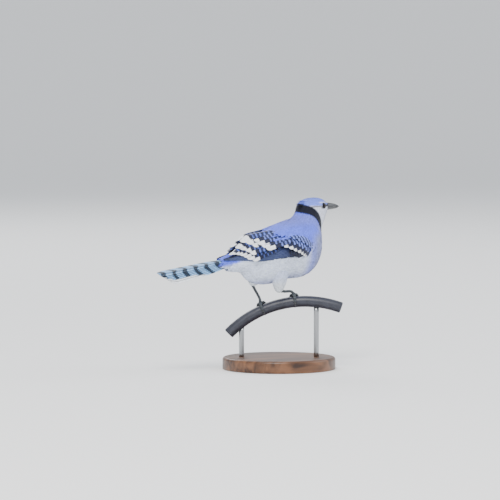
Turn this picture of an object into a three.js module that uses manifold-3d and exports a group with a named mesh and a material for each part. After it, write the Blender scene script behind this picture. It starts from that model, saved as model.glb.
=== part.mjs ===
// A blue jay at rest on a bent metal rod, as a still life-size model on a plain display stand.
// Millimetres, +Z up. The bird faces +X and its left side is +Y. The origin is the middle of the
// underside of the base. Places in the bird are measured from the middle of its grip on the rod.
import * as THREE from 'three';
import { mergeVertices } from 'three/addons/utils/BufferGeometryUtils.js';
import Module from 'manifold-3d';

const wasm = await Module();
wasm.setup();

// Driving sizes of the perch and its stand
const GAP = 0.3;
const GRIP_HEIGHT = 74;
const PERCH_RADIUS = 6.35;
const PERCH_BEND = 122;
const PERCH_TURN = -32;
const PERCH_APEX = 29.9;
const PERCH_FROM = -46;
const PERCH_TO = 20;
const BASE_RADIUS = 65;
const BASE_HEIGHT = 14;
const BASE_BEVEL = 3;
const STAND_ROD_RADIUS = 3;
const STAND_ROD_PLACE = 43;

// Driving sizes of the bird
const FOOT_SPREAD = 17.8;
const HEAD_TURN = 15;
const HEAD_CENTRE = new THREE.Vector3(44, 0, 112);
const BLEND = 9;
const BILL_BASE = 20.5;
const BILL_LENGTH = 28;
const JAW_LENGTH = BILL_LENGTH - 2;
const BILL_HALF_WIDTH = 4.1;
const CULMEN_HEIGHT = 4.7;
const JAW_DEPTH = 3.9;
const EYE_RADIUS = 3.9;
const EYE_FORWARD = 8.2;
const EYE_OUT = 10.5;
const EYE_UP = 0.7;
const TAIL_LENGTH = 96;
const TAIL_DROOP = 7.5;
const TAIL_ROLL = 14;
const TAIL_CAMBER = 0.016;
const VANE = 0.55;
const LAYER = 0.9;
const STEEPEST_LAP = 0.22;
const BODY_SIDES = 28;
const BILL_DROP = -1.3;
const BILL_HOOK = 1.3;
const MOUTH_ROUND = 0.12;
const LID_THICKNESS = 0.75;

const UP = new THREE.Vector3(0, 0, 1);

const degrees = THREE.MathUtils.degToRad;

function spot(x, y, z) {
  return new THREE.Vector3(x, y, z);
}

// A point some way along several directions from a start
function offset(start, ...steps) {
  const point = start.clone();
  for (const [direction, length] of steps) {
    point.addScaledVector(direction, length);
  }
  return point;
}

function blendNumber(from, to, share) {
  return from + (to - from) * share;
}

function smooth(share) {
  const x = Math.min(Math.max(share, 0), 1);
  return x * x * (3 - 2 * x);
}

// Repeatable small differences between like feathers, from -1 to 1
function unlike(seed) {
  const wave = Math.sin(seed * 12.9898) * 43758.5453;
  return 2 * (wave - Math.floor(wave)) - 1;
}

// Six times the volume that the triangles of a closed skin hold, positive where they face out
function signedVolume(corners, index) {
  let volume = 0;
  for (let k = 0; k < index.length; k += 3) {
    const [a, b, c] = [corners[index[k]], corners[index[k + 1]], corners[index[k + 2]]];
    volume += a.dot(b.clone().cross(c));
  }
  return volume;
}

function skin(corners, index) {
  if (signedVolume(corners, index) < 0) {
    index.reverse();
  }
  const geometry = new THREE.BufferGeometry();
  geometry.setFromPoints(corners);
  geometry.setIndex(index);
  return geometry;
}

// A closed skin over rings of equal count, the first and last filled by a fan round their middle
function loft(rings) {
  const count = rings[0].length;
  const corners = rings.flat();
  const index = [];
  for (let row = 0; row < rings.length - 1; row += 1) {
    for (let k = 0; k < count; k += 1) {
      const a = row * count + k;
      const b = row * count + (k + 1) % count;
      index.push(a, b, b + count, a, b + count, a + count);
    }
  }
  for (const [row, turn] of [[0, 1], [rings.length - 1, 0]]) {
    const middle = corners.length;
    const centre = rings[row].reduce((sum, corner) => sum.add(corner), spot(0, 0, 0));
    corners.push(centre.divideScalar(count));
    for (let k = 0; k < count; k += 1) {
      index.push(middle, row * count + (k + turn) % count, row * count + (k + 1 - turn) % count);
    }
  }
  return skin(corners, index);
}

// A thin plate on a grid of points, both faces split alike, half its thickness to each side
function plate(grid, normals, thickness) {
  const rows = grid.length;
  const columns = grid[0].length;
  const corners = [];
  for (const side of [0.5, -0.5]) {
    for (let row = 0; row < rows; row += 1) {
      for (let column = 0; column < columns; column += 1) {
        corners.push(offset(grid[row][column], [normals[row], side * thickness[row]]));
      }
    }
  }
  const under = rows * columns;
  const index = [];
  for (let row = 0; row < rows - 1; row += 1) {
    for (let column = 0; column < columns - 1; column += 1) {
      const a = row * columns + column;
      const b = a + 1;
      const c = a + columns + 1;
      const d = a + columns;
      index.push(a, b, c, a, c, d);
      index.push(under + a, under + c, under + b, under + a, under + d, under + c);
    }
  }
  const rim = [];
  for (let column = 0; column < columns - 1; column += 1) {
    rim.push(column);
  }
  for (let row = 0; row < rows - 1; row += 1) {
    rim.push(row * columns + columns - 1);
  }
  for (let column = columns - 1; column > 0; column -= 1) {
    rim.push((rows - 1) * columns + column);
  }
  for (let row = rows - 1; row > 0; row -= 1) {
    rim.push(row * columns);
  }
  for (let k = 0; k < rim.length; k += 1) {
    const here = rim[k];
    const next = rim[(k + 1) % rim.length];
    index.push(here, under + here, under + next, here, under + next, next);
  }
  return skin(corners, index);
}

// A round bar whose centre line and radius are functions of 0 to 1, kept square to one direction
function bar(line, radius, across, sides, steps) {
  const rings = [];
  for (let step = 0; step <= steps; step += 1) {
    const share = step / steps;
    const ahead = line(Math.min(share + 0.02, 1)).sub(line(Math.max(share - 0.02, 0))).normalize();
    const side = across.clone().addScaledVector(ahead, -across.dot(ahead)).normalize();
    const third = ahead.clone().cross(side);
    const ring = [];
    for (let k = 0; k < sides; k += 1) {
      const angle = 2 * Math.PI * k / sides;
      const size = radius(share);
      ring.push(offset(line(share), [side, size * Math.cos(angle)], [third, size * Math.sin(angle)]));
    }
    rings.push(ring);
  }
  return loft(rings);
}

// Joining and cutting of closed meshes
function solid(geometry) {
  const bare = geometry.clone();
  bare.deleteAttribute('normal');
  bare.deleteAttribute('uv');
  const merged = mergeVertices(bare, 1e-4);
  return new wasm.Manifold(new wasm.Mesh({
    numProp: 3,
    vertProperties: new Float32Array(merged.attributes.position.array),
    triVerts: new Uint32Array(merged.index.array),
  }));
}

function joined(geometries) {
  const solids = geometries.map(solid);
  return solids.reduce((sum, next) => sum.add(next));
}

// The largest closed surface of a solid, as a geometry
function largest(body) {
  const pieces = body.decompose();
  pieces.sort((a, b) => b.volume() - a.volume());
  const mesh = pieces[0].getMesh();
  const geometry = new THREE.BufferGeometry();
  geometry.setAttribute('position', new THREE.BufferAttribute(new Float32Array(mesh.vertProperties), 3));
  geometry.setIndex(Array.from(mesh.triVerts));
  return geometry;
}

// The same geometry on the bird's other side
function mirrored(geometry) {
  const copy = geometry.clone();
  copy.scale(1, -1, 1);
  const index = Array.from(copy.index.array);
  copy.setIndex(index.reverse());
  return copy;
}

// Finishes, one for each colour family of the bird and the stand
function finish(colour, roughness, metalness = 0) {
  return new THREE.MeshStandardMaterial({ color: colour, roughness, metalness });
}

const BLUE_PLUMAGE = 0x8f9fe0;
const PALE_PLUMAGE = 0xaab4d8;
const WING_BLUE = 0x5f78b8;
const TAIL_BLUE = 0x86b4e2;
const WHITE_PLUMAGE = 0xe8eef4;
const BLACK_HORN = 0x17191c;
const EYE_BROWN = 0x140d0a;
const LEG_GREY = 0x343a3c;
const PERCH_PAINT = 0x3c3f4a;
const BASE_WOOD = 0x6b4a32;

// Masses of the body out to its plumage: one for each rounded form, blended into one skin

// A rounded mass by its centre, half sizes along, across and up, nose-up pitch and turn to the left
function mass(centre, half, pitch = 0, turn = 0) {
  const lie = new THREE.Matrix4().makeRotationZ(degrees(turn));
  lie.multiply(new THREE.Matrix4().makeRotationY(-degrees(pitch)));
  const back = lie.clone().invert();
  return { centre: spot(...centre), half: spot(...half), back };
}

const BODY = [
  mass([2, 0, 61.5], [56, 27, 30.5], 27),
  mass([-28, 0, 65], [34, 19, 13], 20),
  mass([-46, 0, 53], [32, 14, 11.5], 12),
  mass([23, 0, 62], [32, 26, 30], 60),
  mass([35, 0, 86], [19, 16, 15.5], 75),
  mass([39, 0, 98.5], [16, 14.5, 13.5], 70),
  mass([48, 1, 100], [14, 12, 11], 20, HEAD_TURN),
  mass([44, 0, 112], [19.5, 13.5, 9.8], 3, HEAD_TURN),
  mass([57, 3.5, 110.5], [9, 7, 6.5], -3, HEAD_TURN),
];

// How far a point lies outside one mass, less than nothing inside it
function outside(part, point) {
  const local = point.clone().sub(part.centre).applyMatrix4(part.back);
  const unit = local.clone().divide(part.half);
  const steep = unit.clone().divide(part.half).length();
  const reach = unit.length();
  return steep < 1e-9 ? -part.half.z : reach * (reach - 1) / steep;
}

function outsideBody(point) {
  let nearest = Infinity;
  for (const part of BODY) {
    const distance = outside(part, point);
    const share = Math.max(BLEND - Math.abs(nearest - distance), 0) / BLEND;
    nearest = Math.min(nearest, distance) - share * share * BLEND / 4;
  }
  return nearest;
}

// How far along a ray from inside the body its skin, swollen by a level, lies
function reachSkin(start, direction, level) {
  let near = 0;
  let far = 2;
  while (outsideBody(offset(start, [direction, far])) < level && far < 80) {
    near = far;
    far += 2;
  }
  for (let round = 0; round < 16; round += 1) {
    const middle = (near + far) / 2;
    if (outsideBody(offset(start, [direction, middle])) < level) {
      near = middle;
    } else {
      far = middle;
    }
  }
  return (near + far) / 2;
}

// The line through the body from the tail root to the bill, and how its cross planes lean and turn
const SPINE = new THREE.CatmullRomCurve3([
  spot(-66, 0, 52.5), spot(-46, 0, 55), spot(-24, 0, 58), spot(0, 0, 62.5), spot(20, 0, 73),
  spot(31, 0, 87), spot(38, 0, 99), spot(44, 0, 107.5), spot(53, 2, 110.5), spot(64, 5.2, 110.8),
]);
const LEAN = new THREE.CatmullRomCurve3([
  spot(10, 0, 0), spot(12, 0, 0), spot(17, 0, 0), spot(27, 0, 0), spot(46, 0, 0),
  spot(62, 0, 0), spot(62, 4, 0), spot(36, 10, 0), spot(8, 15, 0), spot(0, 15, 0),
]);
const NOSE_TILTS = [52];
const NECK_START = 5.15 / 9;
const HEAD_START = 6.35 / 9;

function spineAt(share) {
  const [pitch, turn] = LEAN.getPoint(share).toArray().map(degrees);
  const along = spot(Math.cos(pitch) * Math.cos(turn), Math.cos(pitch) * Math.sin(turn), Math.sin(pitch));
  const left = spot(-Math.sin(turn), Math.cos(turn), 0);
  return { centre: SPINE.getPoint(share), along, left, up: along.clone().cross(left) };
}

// A ring of points where rays from the spine leave the body. A nose tilt leans the rays forward.
function bodyRing(share, count, level = 0, shift = 0, noseTilt = 0) {
  const { centre, along, left, up } = spineAt(share);
  const middle = offset(centre, [along, shift]);
  const ring = [];
  for (let k = 0; k < count; k += 1) {
    const angle = 2 * Math.PI * k / count;
    const flat = Math.cos(degrees(noseTilt));
    const ray = offset(spot(0, 0, 0), [left, flat * Math.cos(angle)], [up, flat * Math.sin(angle)]);
    ray.addScaledVector(along, Math.sin(degrees(noseTilt)));
    ring.push(offset(middle, [ray, reachSkin(middle, ray, level)]));
  }
  return ring;
}

// A length of the body between two cross planes, its first plane moved on to leave a parting gap.
// Where it runs to the end of the spine, the face is rounded off round the root of the bill.
function bodyLength(from, to, rows, count, level = 0, shift = 0) {
  const rings = [bodyRing(from, count, level, shift)];
  for (let row = 1; row <= rows; row += 1) {
    rings.push(bodyRing(blendNumber(from, to, row / rows), count, level));
  }
  if (to === 1) {
    rings.push(...NOSE_TILTS.map((tilt) => bodyRing(1, count, level, 0, tilt)));
  }
  return loft(rings);
}

const clearOfBody = solid(bodyLength(0, 1, 40, BODY_SIDES, GAP + 0.1));

// The tail's own frame: back along the tail, to the bird's left and up, rolled with its right side low
const TAIL_ROOT = spineAt(0).centre;
const tailBack = spot(-Math.cos(degrees(TAIL_DROOP)), 0, -Math.sin(degrees(TAIL_DROOP)));
const tailLeft = spot(0, 1, 0).applyAxisAngle(tailBack, -degrees(TAIL_ROLL));
const tailUp = tailLeft.clone().cross(tailBack);

function inTail(back, left, up) {
  return offset(TAIL_ROOT, [tailBack, back], [tailLeft, left], [tailUp, up]);
}

// One feather: a plate along its shaft with a raised midrib and a rounded end. Its shaft is a
// function of 0 to 1 that gives a point, the way across and the way out of the surface.
const FEATHER_STATIONS = [0, 0.3, 0.64, 0.87, 1];
const BLUNT_END = [0.55, 0.92, 1, 0.8, 0.3];

function feather(shaft, inner, outer, thickness = VANE, shares = BLUNT_END, ridge = 0) {
  const grid = [];
  const normals = [];
  const depths = [];
  FEATHER_STATIONS.forEach((station, k) => {
    const { point, across, out } = shaft(station);
    const near = offset(point, [across, -inner * shares[k]]);
    const far = offset(point, [across, outer * shares[k]]);
    grid.push(ridge > 0 ? [near, offset(point, [out, ridge]), far] : [near, far]);
    normals.push(out);
    depths.push(thickness * (k === FEATHER_STATIONS.length - 1 ? 0.7 : 1));
  });
  return plate(grid, normals, depths);
}

// The folded wing's outer face, from its front to its tip and from its upper to its lower edge
const WING_TOP = new THREE.CatmullRomCurve3([
  spot(34, -13, 88), spot(5, -11, 91), spot(-24, -8, 86), spot(-45, -5.5, 81),
  spot(-57, -5.5, 72), spot(-71, -7.5, 62.2), spot(-84, -9, 58.6),
]);
const WING_MIDDLE = new THREE.CatmullRomCurve3([
  spot(38, -22, 75), spot(8, -32, 74), spot(-22, -28.5, 69), spot(-44, -21, 65),
  spot(-58, -16, 61.5), spot(-71, -12.5, 59), spot(-84, -10, 57.8),
]);
const WING_LOW = new THREE.CatmullRomCurve3([
  spot(30, -23, 60), spot(12, -29, 55.5), spot(-14, -29, 53), spot(-38, -24.5, 51.5),
  spot(-54, -18.5, 51.8), spot(-70, -14, 54.4), spot(-84, -10.8, 56.8),
]);

function wingFace(along, down) {
  const top = WING_TOP.getPoint(along);
  const middle = WING_MIDDLE.getPoint(along);
  const low = WING_LOW.getPoint(along);
  const bulge = offset(middle, [middle, 1], [top, -0.5], [low, -0.5]);
  return new THREE.QuadraticBezierCurve3(top, bulge, low).getPoint(down);
}

function wingOut(along, down) {
  const step = 0.02;
  const ahead = Math.max(along - step, 0);
  const behind = Math.min(along + step, 1);
  const back = wingFace(behind, down).sub(wingFace(ahead, down));
  const lower = wingFace(along, down + step).sub(wingFace(along, down - step));
  return back.cross(lower).normalize();
}

function onWing(along, down, height) {
  return offset(wingFace(along, down), [wingOut(along, down), height]);
}

// The flesh and small coverts of the wing, thick at its front and running out under the quills
function wingCore() {
  const rows = 6;
  const columns = 6;
  const rings = [];
  for (let row = 0; row <= rows; row += 1) {
    const along = 0.01 + 0.6 * row / rows;
    const ring = [];
    for (let column = 0; column <= columns; column += 1) {
      const down = blendNumber(0.04, 0.95, column / columns);
      const rim = Math.abs(2 * down - 1) ** 5;
      ring.push(onWing(along, down, -0.3 - 8 * along - 1.6 * rim));
    }
    for (let column = columns; column >= 0; column -= 1) {
      const down = blendNumber(0.04, 0.95, column / columns);
      ring.push(onWing(along, down, -10 - 2 * along));
    }
    rings.push(ring);
  }
  return loft(rings);
}

// A tier of overlapping feathers on the wing. Roots and tips run along lines on the wing's face,
// from the innermost feather to the outermost, and each lies over the next one out.
function wingTier({ count, roots, tips, half, sink, rise, shares = BLUNT_END, web = 1, seed = 0 }) {
  const geometries = [];
  const lie = (place, share) => {
    const along = blendNumber(
      blendNumber(roots[0][0], roots[1][0], place), blendNumber(tips[0][0], tips[1][0], place), share);
    const down = blendNumber(
      blendNumber(roots[0][1], roots[1][1], place), blendNumber(tips[0][1], tips[1][1], place), share);
    return [along, down];
  };
  for (let k = 0; k < count; k += 1) {
    const place = count > 1 ? k / (count - 1) : 0.5;
    const halfStep = 0.5 / Math.max(count - 1, 1);
    const longer = 1 + 0.025 * unlike(seed + k);
    const shaft = (station) => {
      const share = station * longer;
      const [along, down] = lie(place, share);
      const out = wingOut(along, down);
      const ahead = wingFace(...lie(place, share + 0.03)).sub(wingFace(...lie(place, share - 0.03)));
      const across = out.clone().cross(ahead).normalize();
      const above = wingFace(...lie(place - halfStep, share));
      const below = wingFace(...lie(place + halfStep, share));
      const spacing = Math.abs(below.sub(above).dot(across));
      const slope = Math.min(LAYER / spacing, STEEPEST_LAP);
      const step = LAYER - spacing * slope;
      const height = blendNumber(sink, rise - k * step, smooth(share / 0.25));
      const tilt = Math.atan(slope);
      return {
        point: offset(wingFace(along, down), [out, height]),
        across: offset(spot(0, 0, 0), [across, Math.cos(tilt)], [out, Math.sin(tilt)]),
        out: offset(spot(0, 0, 0), [out, Math.cos(tilt)], [across, -Math.sin(tilt)]),
      };
    };
    geometries.push(feather(shaft, half, half * web, VANE, shares));
  }
  return geometries;
}

const POINTED_END = [0.6, 0.95, 0.9, 0.6, 0.2];

function wing() {
  const geometries = [
    wingCore(),
    ...wingTier({
      count: 6, roots: [[0.2, 0.86], [0.13, 0.97]], tips: [[0.86, 0.66], [1, 0.56]],
      half: 3.4, sink: -5, rise: -3.8, shares: POINTED_END, web: 0.8, seed: 1,
    }),
    ...wingTier({
      count: 6, roots: [[0.24, 0.42], [0.16, 0.86]], tips: [[0.74, 0.42], [0.86, 0.72]],
      half: 4.2, sink: -4, rise: -2.2, seed: 11,
    }),
    ...wingTier({
      count: 3, roots: [[0.26, 0.12], [0.24, 0.34]], tips: [[0.6, 0.1], [0.7, 0.3]],
      half: 5.6, sink: -3.6, rise: -0.7, seed: 21,
    }),
    ...wingTier({
      count: 8, roots: [[0.22, 0.18], [0.04, 0.84]], tips: [[0.38, 0.24], [0.14, 0.93]],
      half: 3.5, sink: -3, rise: -0.5, seed: 31,
    }),
    ...wingTier({
      count: 6, roots: [[0.14, 0.2], [0.02, 0.7]], tips: [[0.25, 0.24], [0.08, 0.82]],
      half: 3.6, sink: -2, rise: 0.9, seed: 41,
    }),
    ...wingTier({
      count: 4, roots: [[0.1, 0.9], [0.08, 0.97]], tips: [[0.3, 0.88], [0.2, 0.97]],
      half: 2.6, sink: -3.2, rise: -1.7, seed: 51,
    }),
  ];
  const size = 400;
  const side = new THREE.BoxGeometry(size, size, size).translate(0, -size / 2 - GAP, 0);
  const clear = joined(tailCoverts(GAP));
  return joined(geometries).intersect(solid(side)).subtract(clearOfBody).subtract(clear);
}

// Tail quills: the middle pair on top, each pair further out a layer lower and a little shorter
function tailFeathers() {
  const pairs = 6;
  const geometries = [];
  for (let pair = 0; pair < pairs; pair += 1) {
    for (const side of [1, -1]) {
      const start = side * (0.8 + 0.9 * pair);
      const end = side * (2.4 + 1.85 * pair);
      const top = -LAYER * (pair === 0 ? (side < 0 ? 1 : 0) : pair + 1);
      const reach = TAIL_LENGTH - 1.2 * pair ** 1.25 + 0.8 * unlike(pair + 60);
      const shaft = (station) => {
        const back = blendNumber(6, reach, station);
        const left = blendNumber(start, end, station);
        const slope = -2 * TAIL_CAMBER * left;
        const across = tailLeft.clone().addScaledVector(tailUp, slope).normalize();
        return {
          point: inTail(back, left, top + 2 - TAIL_CAMBER * left * left - 1.2 * station),
          across: across.clone().multiplyScalar(side),
          out: tailBack.clone().cross(across).normalize().negate(),
        };
      };
      const inner = pair === 0 ? 5.5 : Math.min(6, Math.abs(start) + 0.2);
      geometries.push(feather(shaft, inner, 5.6, VANE + 0.05));
    }
  }
  return geometries;
}

function tailCore() {
  const count = 20;
  const rings = [bodyRing(0, count, -1, -GAP)];
  for (const [back, halfWidth, halfHeight] of [[6, 8.5, 5], [15, 7.5, 3.6], [26, 6, 2]]) {
    const ring = [];
    for (let k = 0; k < count; k += 1) {
      const angle = 2 * Math.PI * k / count;
      ring.push(inTail(back, halfWidth * Math.cos(angle), halfHeight * Math.sin(angle) - 0.6));
    }
    rings.push(ring);
  }
  return loft(rings);
}

// Long soft coverts over and under the tail root, rooted in the rump and the vent
function tailCoverts(swell = 0) {
  const geometries = [];
  const rows = [
    { count: 5, spread: 6.5, from: -14, to: 19, root: 6.4, tip: 4.6, way: 1, half: 4 },
    { count: 6, spread: 9, from: -15, to: 30, root: -6.2, tip: -6.4, way: -1, half: 4.2 },
  ];
  for (const { count, spread, from, to, root, tip, way, half } of rows) {
    for (let k = 0; k < count; k += 1) {
      const place = 2 * k / (count - 1) - 1;
      const reach = to * (1 - 0.3 * place * place);
      const shaft = (station) => {
        const left = place * spread * (1 + 0.15 * station);
        const lift = blendNumber(root, tip, smooth(station));
        const layer = 0.3 * way * (k % 2);
        return {
          point: inTail(blendNumber(from, reach + swell, station), left, lift + layer * station
            - TAIL_CAMBER * left * left),
          across: tailLeft.clone(),
          out: tailUp.clone().multiplyScalar(way),
        };
      };
      geometries.push(feather(shaft, half + swell, half + swell, 0.6 + 2 * swell));
    }
  }
  return geometries;
}

// The head's own frame: forward to the bill, to the bird's right and up
const headForward = spot(Math.cos(degrees(HEAD_TURN)), Math.sin(degrees(HEAD_TURN)), 0);
const headRight = spot(Math.sin(degrees(HEAD_TURN)), -Math.cos(degrees(HEAD_TURN)), 0);

function inHead(forward, right, up) {
  return offset(HEAD_CENTRE, [headForward, forward], [headRight, right], [UP, up]);
}

// Crest feathers: tapered locks in rows over the crown, swept back to the point over the nape
function crest() {
  const rows = [
    { forward: 12, rise: 5.9, spread: 3.2, count: 2, reach: 12, lift: 1.8 },
    { forward: 6, rise: 7.3, spread: 4.8, count: 3, reach: 16, lift: 1.8 },
    { forward: -1, rise: 7.7, spread: 5.8, count: 4, reach: 20, lift: 0.8 },
    { forward: -7, rise: 5.8, spread: 6.2, count: 4, reach: 18, lift: -0.8 },
  ];
  const geometries = [];
  for (const { forward, rise, spread, count, reach, lift } of rows) {
    for (let k = 0; k < count; k += 1) {
      const place = count > 1 ? 2 * k / (count - 1) - 1 : 0;
      const longer = reach * (1 - 0.12 * Math.abs(place) + 0.08 * unlike(forward + k));
      const shaft = (station) => {
        const right = place * spread * (1 - 0.55 * station);
        const drop = 0.035 * right * right;
        const bend = lift * Math.sin(station * Math.PI * 0.6) - 1.2 * station;
        const across = offset(spot(0, 0, 0), [headRight, 1], [UP, -0.12 * right]).normalize();
        return {
          point: inHead(forward - longer * station, right, rise - drop + bend),
          across,
          out: headForward.clone().cross(across).multiplyScalar(-1),
        };
      };
      geometries.push(feather(shaft, 2.1, 2.1, 0.8, [0.9, 1, 0.85, 0.5, 0.16], 0.3));
    }
  }
  return geometries;
}

// Short bristles that lie forward over the base of the bill, above its edge on each side
function bristles() {
  const geometries = [];
  for (const side of [-1, 1]) {
    for (const [height, reach] of [[2.2, 7.5], [3.6, 6]]) {
      const shaft = (station) => ({
        point: inHead(17 + reach * station, side * (4.6 - 1.1 * station), height),
        across: UP.clone().multiplyScalar(side),
        out: headRight.clone().multiplyScalar(side),
      });
      geometries.push(feather(shaft, 1, 1, 0.7, [0.9, 1, 0.8, 0.5, 0.2], 0.15));
    }
  }
  return geometries;
}

function eyePlace(side) {
  return inHead(EYE_FORWARD, side * EYE_OUT, EYE_UP);
}

function eyeball(side, radius) {
  const ball = new THREE.SphereGeometry(radius, 12, 8);
  return ball.translate(...eyePlace(side).toArray());
}

// Upper and lower lid as one soft ring round the eye, longer than it is high
function lids(side) {
  const ring = new THREE.TorusGeometry(EYE_RADIUS - 0.2, LID_THICKNESS, 5, 12);
  ring.scale(1.08, 0.9, 1);
  ring.rotateX(Math.PI / 2);
  ring.rotateZ(degrees(HEAD_TURN - side * 12));
  return ring.translate(...offset(eyePlace(side), [headRight, side * 2.2]).toArray());
}

// The bill is two horny sheaths on one axis, closed along the mouth line, which hooks down at its tip
function billHalf(way, length, height) {
  const count = 12;
  const rings = [];
  const stations = [0, 0.14, 0.32, 0.52, 0.7, 0.85, 0.95, 1];
  for (const station of stations) {
    const taper = Math.sqrt(1 - station ** 1.7) * 0.94 + 0.06;
    const hook = -BILL_HOOK * (length * station / BILL_LENGTH) ** 4;
    const ring = [];
    for (let k = 0; k < count; k += 1) {
      const angle = 2 * Math.PI * k / count;
      const right = BILL_HALF_WIDTH * taper * (1 - 0.35 * station) * Math.cos(angle);
      const swell = Math.sin(angle) * way;
      const high = swell > 0 ? swell * height * taper : swell * MOUTH_ROUND;
      const up = BILL_DROP + hook + way * (high + GAP / 2 + MOUTH_ROUND);
      ring.push(inHead(BILL_BASE + length * station, right, up));
    }
    rings.push(ring);
  }
  return loft(rings);
}

function nostril(side) {
  const pit = new THREE.SphereGeometry(1, 8, 6).scale(1.6, 0.8, 0.7);
  pit.rotateZ(degrees(HEAD_TURN));
  return pit.translate(...inHead(BILL_BASE + 4.5, side * 3.9, BILL_DROP + 2.4).toArray());
}

// The line of the mouth, cut a little way back into each cheek from the bill
function mouthCorner(side) {
  const slit = new THREE.BoxGeometry(9, 2.4, 0.5);
  slit.rotateY(degrees(-6));
  slit.rotateZ(degrees(HEAD_TURN));
  return slit.translate(...inHead(18, side * 6.4, BILL_DROP - 0.6).toArray());
}

function head() {
  const flesh = bodyLength(HEAD_START, 1, 10, BODY_SIDES, 0, GAP);
  const neckClear = solid(bodyLength(NECK_START, HEAD_START, 4, BODY_SIDES, GAP));
  const whole = joined([flesh, ...crest(), ...bristles(), lids(1), lids(-1)]).subtract(neckClear);
  const cuts = [1, -1].flatMap((side) => [eyeball(side, EYE_RADIUS + GAP), mouthCorner(side)]);
  const bill = joined([
    billHalf(1, BILL_LENGTH, CULMEN_HEIGHT),
    billHalf(-1, JAW_LENGTH, JAW_DEPTH),
  ]);
  return whole.subtract(joined(cuts)).subtract(bill);
}

// The rod that the bird grips, a round bar bent to one radius in an upright plane
const perchWay = spot(Math.cos(degrees(PERCH_TURN)), Math.sin(degrees(PERCH_TURN)), 0);
const perchAcross = spot(-perchWay.y, perchWay.x, 0);
const PERCH_CENTRE_DROP = Math.sqrt(PERCH_BEND ** 2 - PERCH_APEX ** 2);

// The rod's centre, its run, its crown side and the way across it, at a distance from the grip
function perchAt(distance) {
  const angle = Math.asin((distance - PERCH_APEX) / PERCH_BEND);
  const height = PERCH_BEND * Math.cos(angle) - PERCH_CENTRE_DROP;
  return {
    centre: offset(spot(0, 0, height), [perchWay, distance]),
    run: offset(spot(0, 0, 0), [perchWay, Math.cos(angle)], [UP, -Math.sin(angle)]),
    crown: offset(spot(0, 0, 0), [perchWay, Math.sin(angle)], [UP, Math.cos(angle)]),
    across: perchAcross,
  };
}

class PerchLine extends THREE.Curve {
  getPoint(share, target = new THREE.Vector3()) {
    const angle = degrees(blendNumber(PERCH_FROM, PERCH_TO, share));
    return target.copy(perchAt(PERCH_APEX + PERCH_BEND * Math.sin(angle)).centre);
  }
}

function perch(radius, sides, steps) {
  const section = new THREE.Shape();
  for (let k = 0; k < sides; k += 1) {
    const angle = 2 * Math.PI * (k + 0.5) / sides;
    const corner = [radius * Math.cos(angle), radius * Math.sin(angle)];
    if (k === 0) {
      section.moveTo(...corner);
    } else {
      section.lineTo(...corner);
    }
  }
  section.closePath();
  return new THREE.ExtrudeGeometry(section, { steps, bevelEnabled: false, extrudePath: new PerchLine() });
}

// Feet. Toes bend round the rod: three over its far side and one round its near side.
const TOES = [
  { name: 'inner', from: -8, to: 92, spread: 4.6, size: 1.75, claw: 34 },
  { name: 'middle', from: -8, to: 118, spread: 0, size: 1.95, claw: 36 },
  { name: 'outer', from: -8, to: 98, spread: -4.6, size: 1.75, claw: 34 },
  { name: 'hind', from: 8, to: -84, spread: 0.6, size: 2, claw: -44 },
];
const TOE_CLEARANCE = 0.45;

// A point on the round of the rod under a toe, at an angle from the rod's crown
function roundRod(distance, angle, height) {
  const { centre, crown, across } = perchAt(distance);
  const turn = degrees(angle);
  const lift = PERCH_RADIUS + TOE_CLEARANCE + height;
  return offset(centre, [crown, lift * Math.cos(turn)], [across, lift * Math.sin(turn)]);
}

function toe(place, side, { from, to, spread, size }) {
  const radius = (share) => {
    const pads = 0.12 * Math.cos(share * Math.PI * 6);
    return size * (1.05 - 0.36 * share + pads);
  };
  const line = (share) => {
    const distance = place + side * spread * smooth(share / 0.6);
    return roundRod(distance, blendNumber(from, to, share), radius(share));
  };
  return bar(line, radius, perchAt(place).run, 7, 7);
}

// A claw goes on from its toe's end, thinning to a point that stays clear of the rod
function claw(place, side, { to, spread, size, claw: sweep }) {
  const first = size * 0.66;
  const way = Math.sign(sweep);
  const start = to + way * THREE.MathUtils.radToDeg(GAP / (PERCH_RADIUS + first)) * 1.4;
  const radius = (share) => Math.max(first * (1 - share) ** 0.8, 0.12);
  const line = (share) => roundRod(
    place + side * spread, start + sweep * share, radius(share) + 1.1 * Math.sin(share * Math.PI * 0.8));
  return bar(line, radius, perchAt(place).run, 6, 4);
}

const LEGS = {
  left: {
    place: -FOOT_SPREAD, side: -1, ankle: spot(-33, 10.5, 30), thigh: spot(-24, 12, 36),
    thighEnd: spot(-30, 10.4, 22), thighSize: 9,
  },
  right: {
    place: FOOT_SPREAD, side: 1, ankle: spot(-8.5, -10.6, 17.6), thigh: spot(-8, -14, 38),
    thighEnd: spot(-7, -10.6, 14.6), thighSize: 9.5,
  },
};

// The feathered thigh, a drop that narrows to the leg
function thigh({ thigh: top, thighEnd: end, thighSize: size }, swell = 0) {
  const length = top.distanceTo(end);
  const profile = [new THREE.Vector2(0, -size * 0.8 - swell)];
  const stations = [-0.18, 0, 0.25, 0.5, 0.75, 0.92];
  for (const station of stations) {
    const wide = size * Math.sqrt(Math.max(1 - Math.max(station, -station * 2.2) ** 1.5, 0));
    profile.push(new THREE.Vector2(wide + swell, length * station));
  }
  profile.push(new THREE.Vector2(0, length + swell));
  const drop = new THREE.LatheGeometry(profile, 16);
  const lie = new THREE.Quaternion().setFromUnitVectors(spot(0, 1, 0), end.clone().sub(top).normalize());
  return drop.applyQuaternion(lie).translate(...top.toArray());
}

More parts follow.
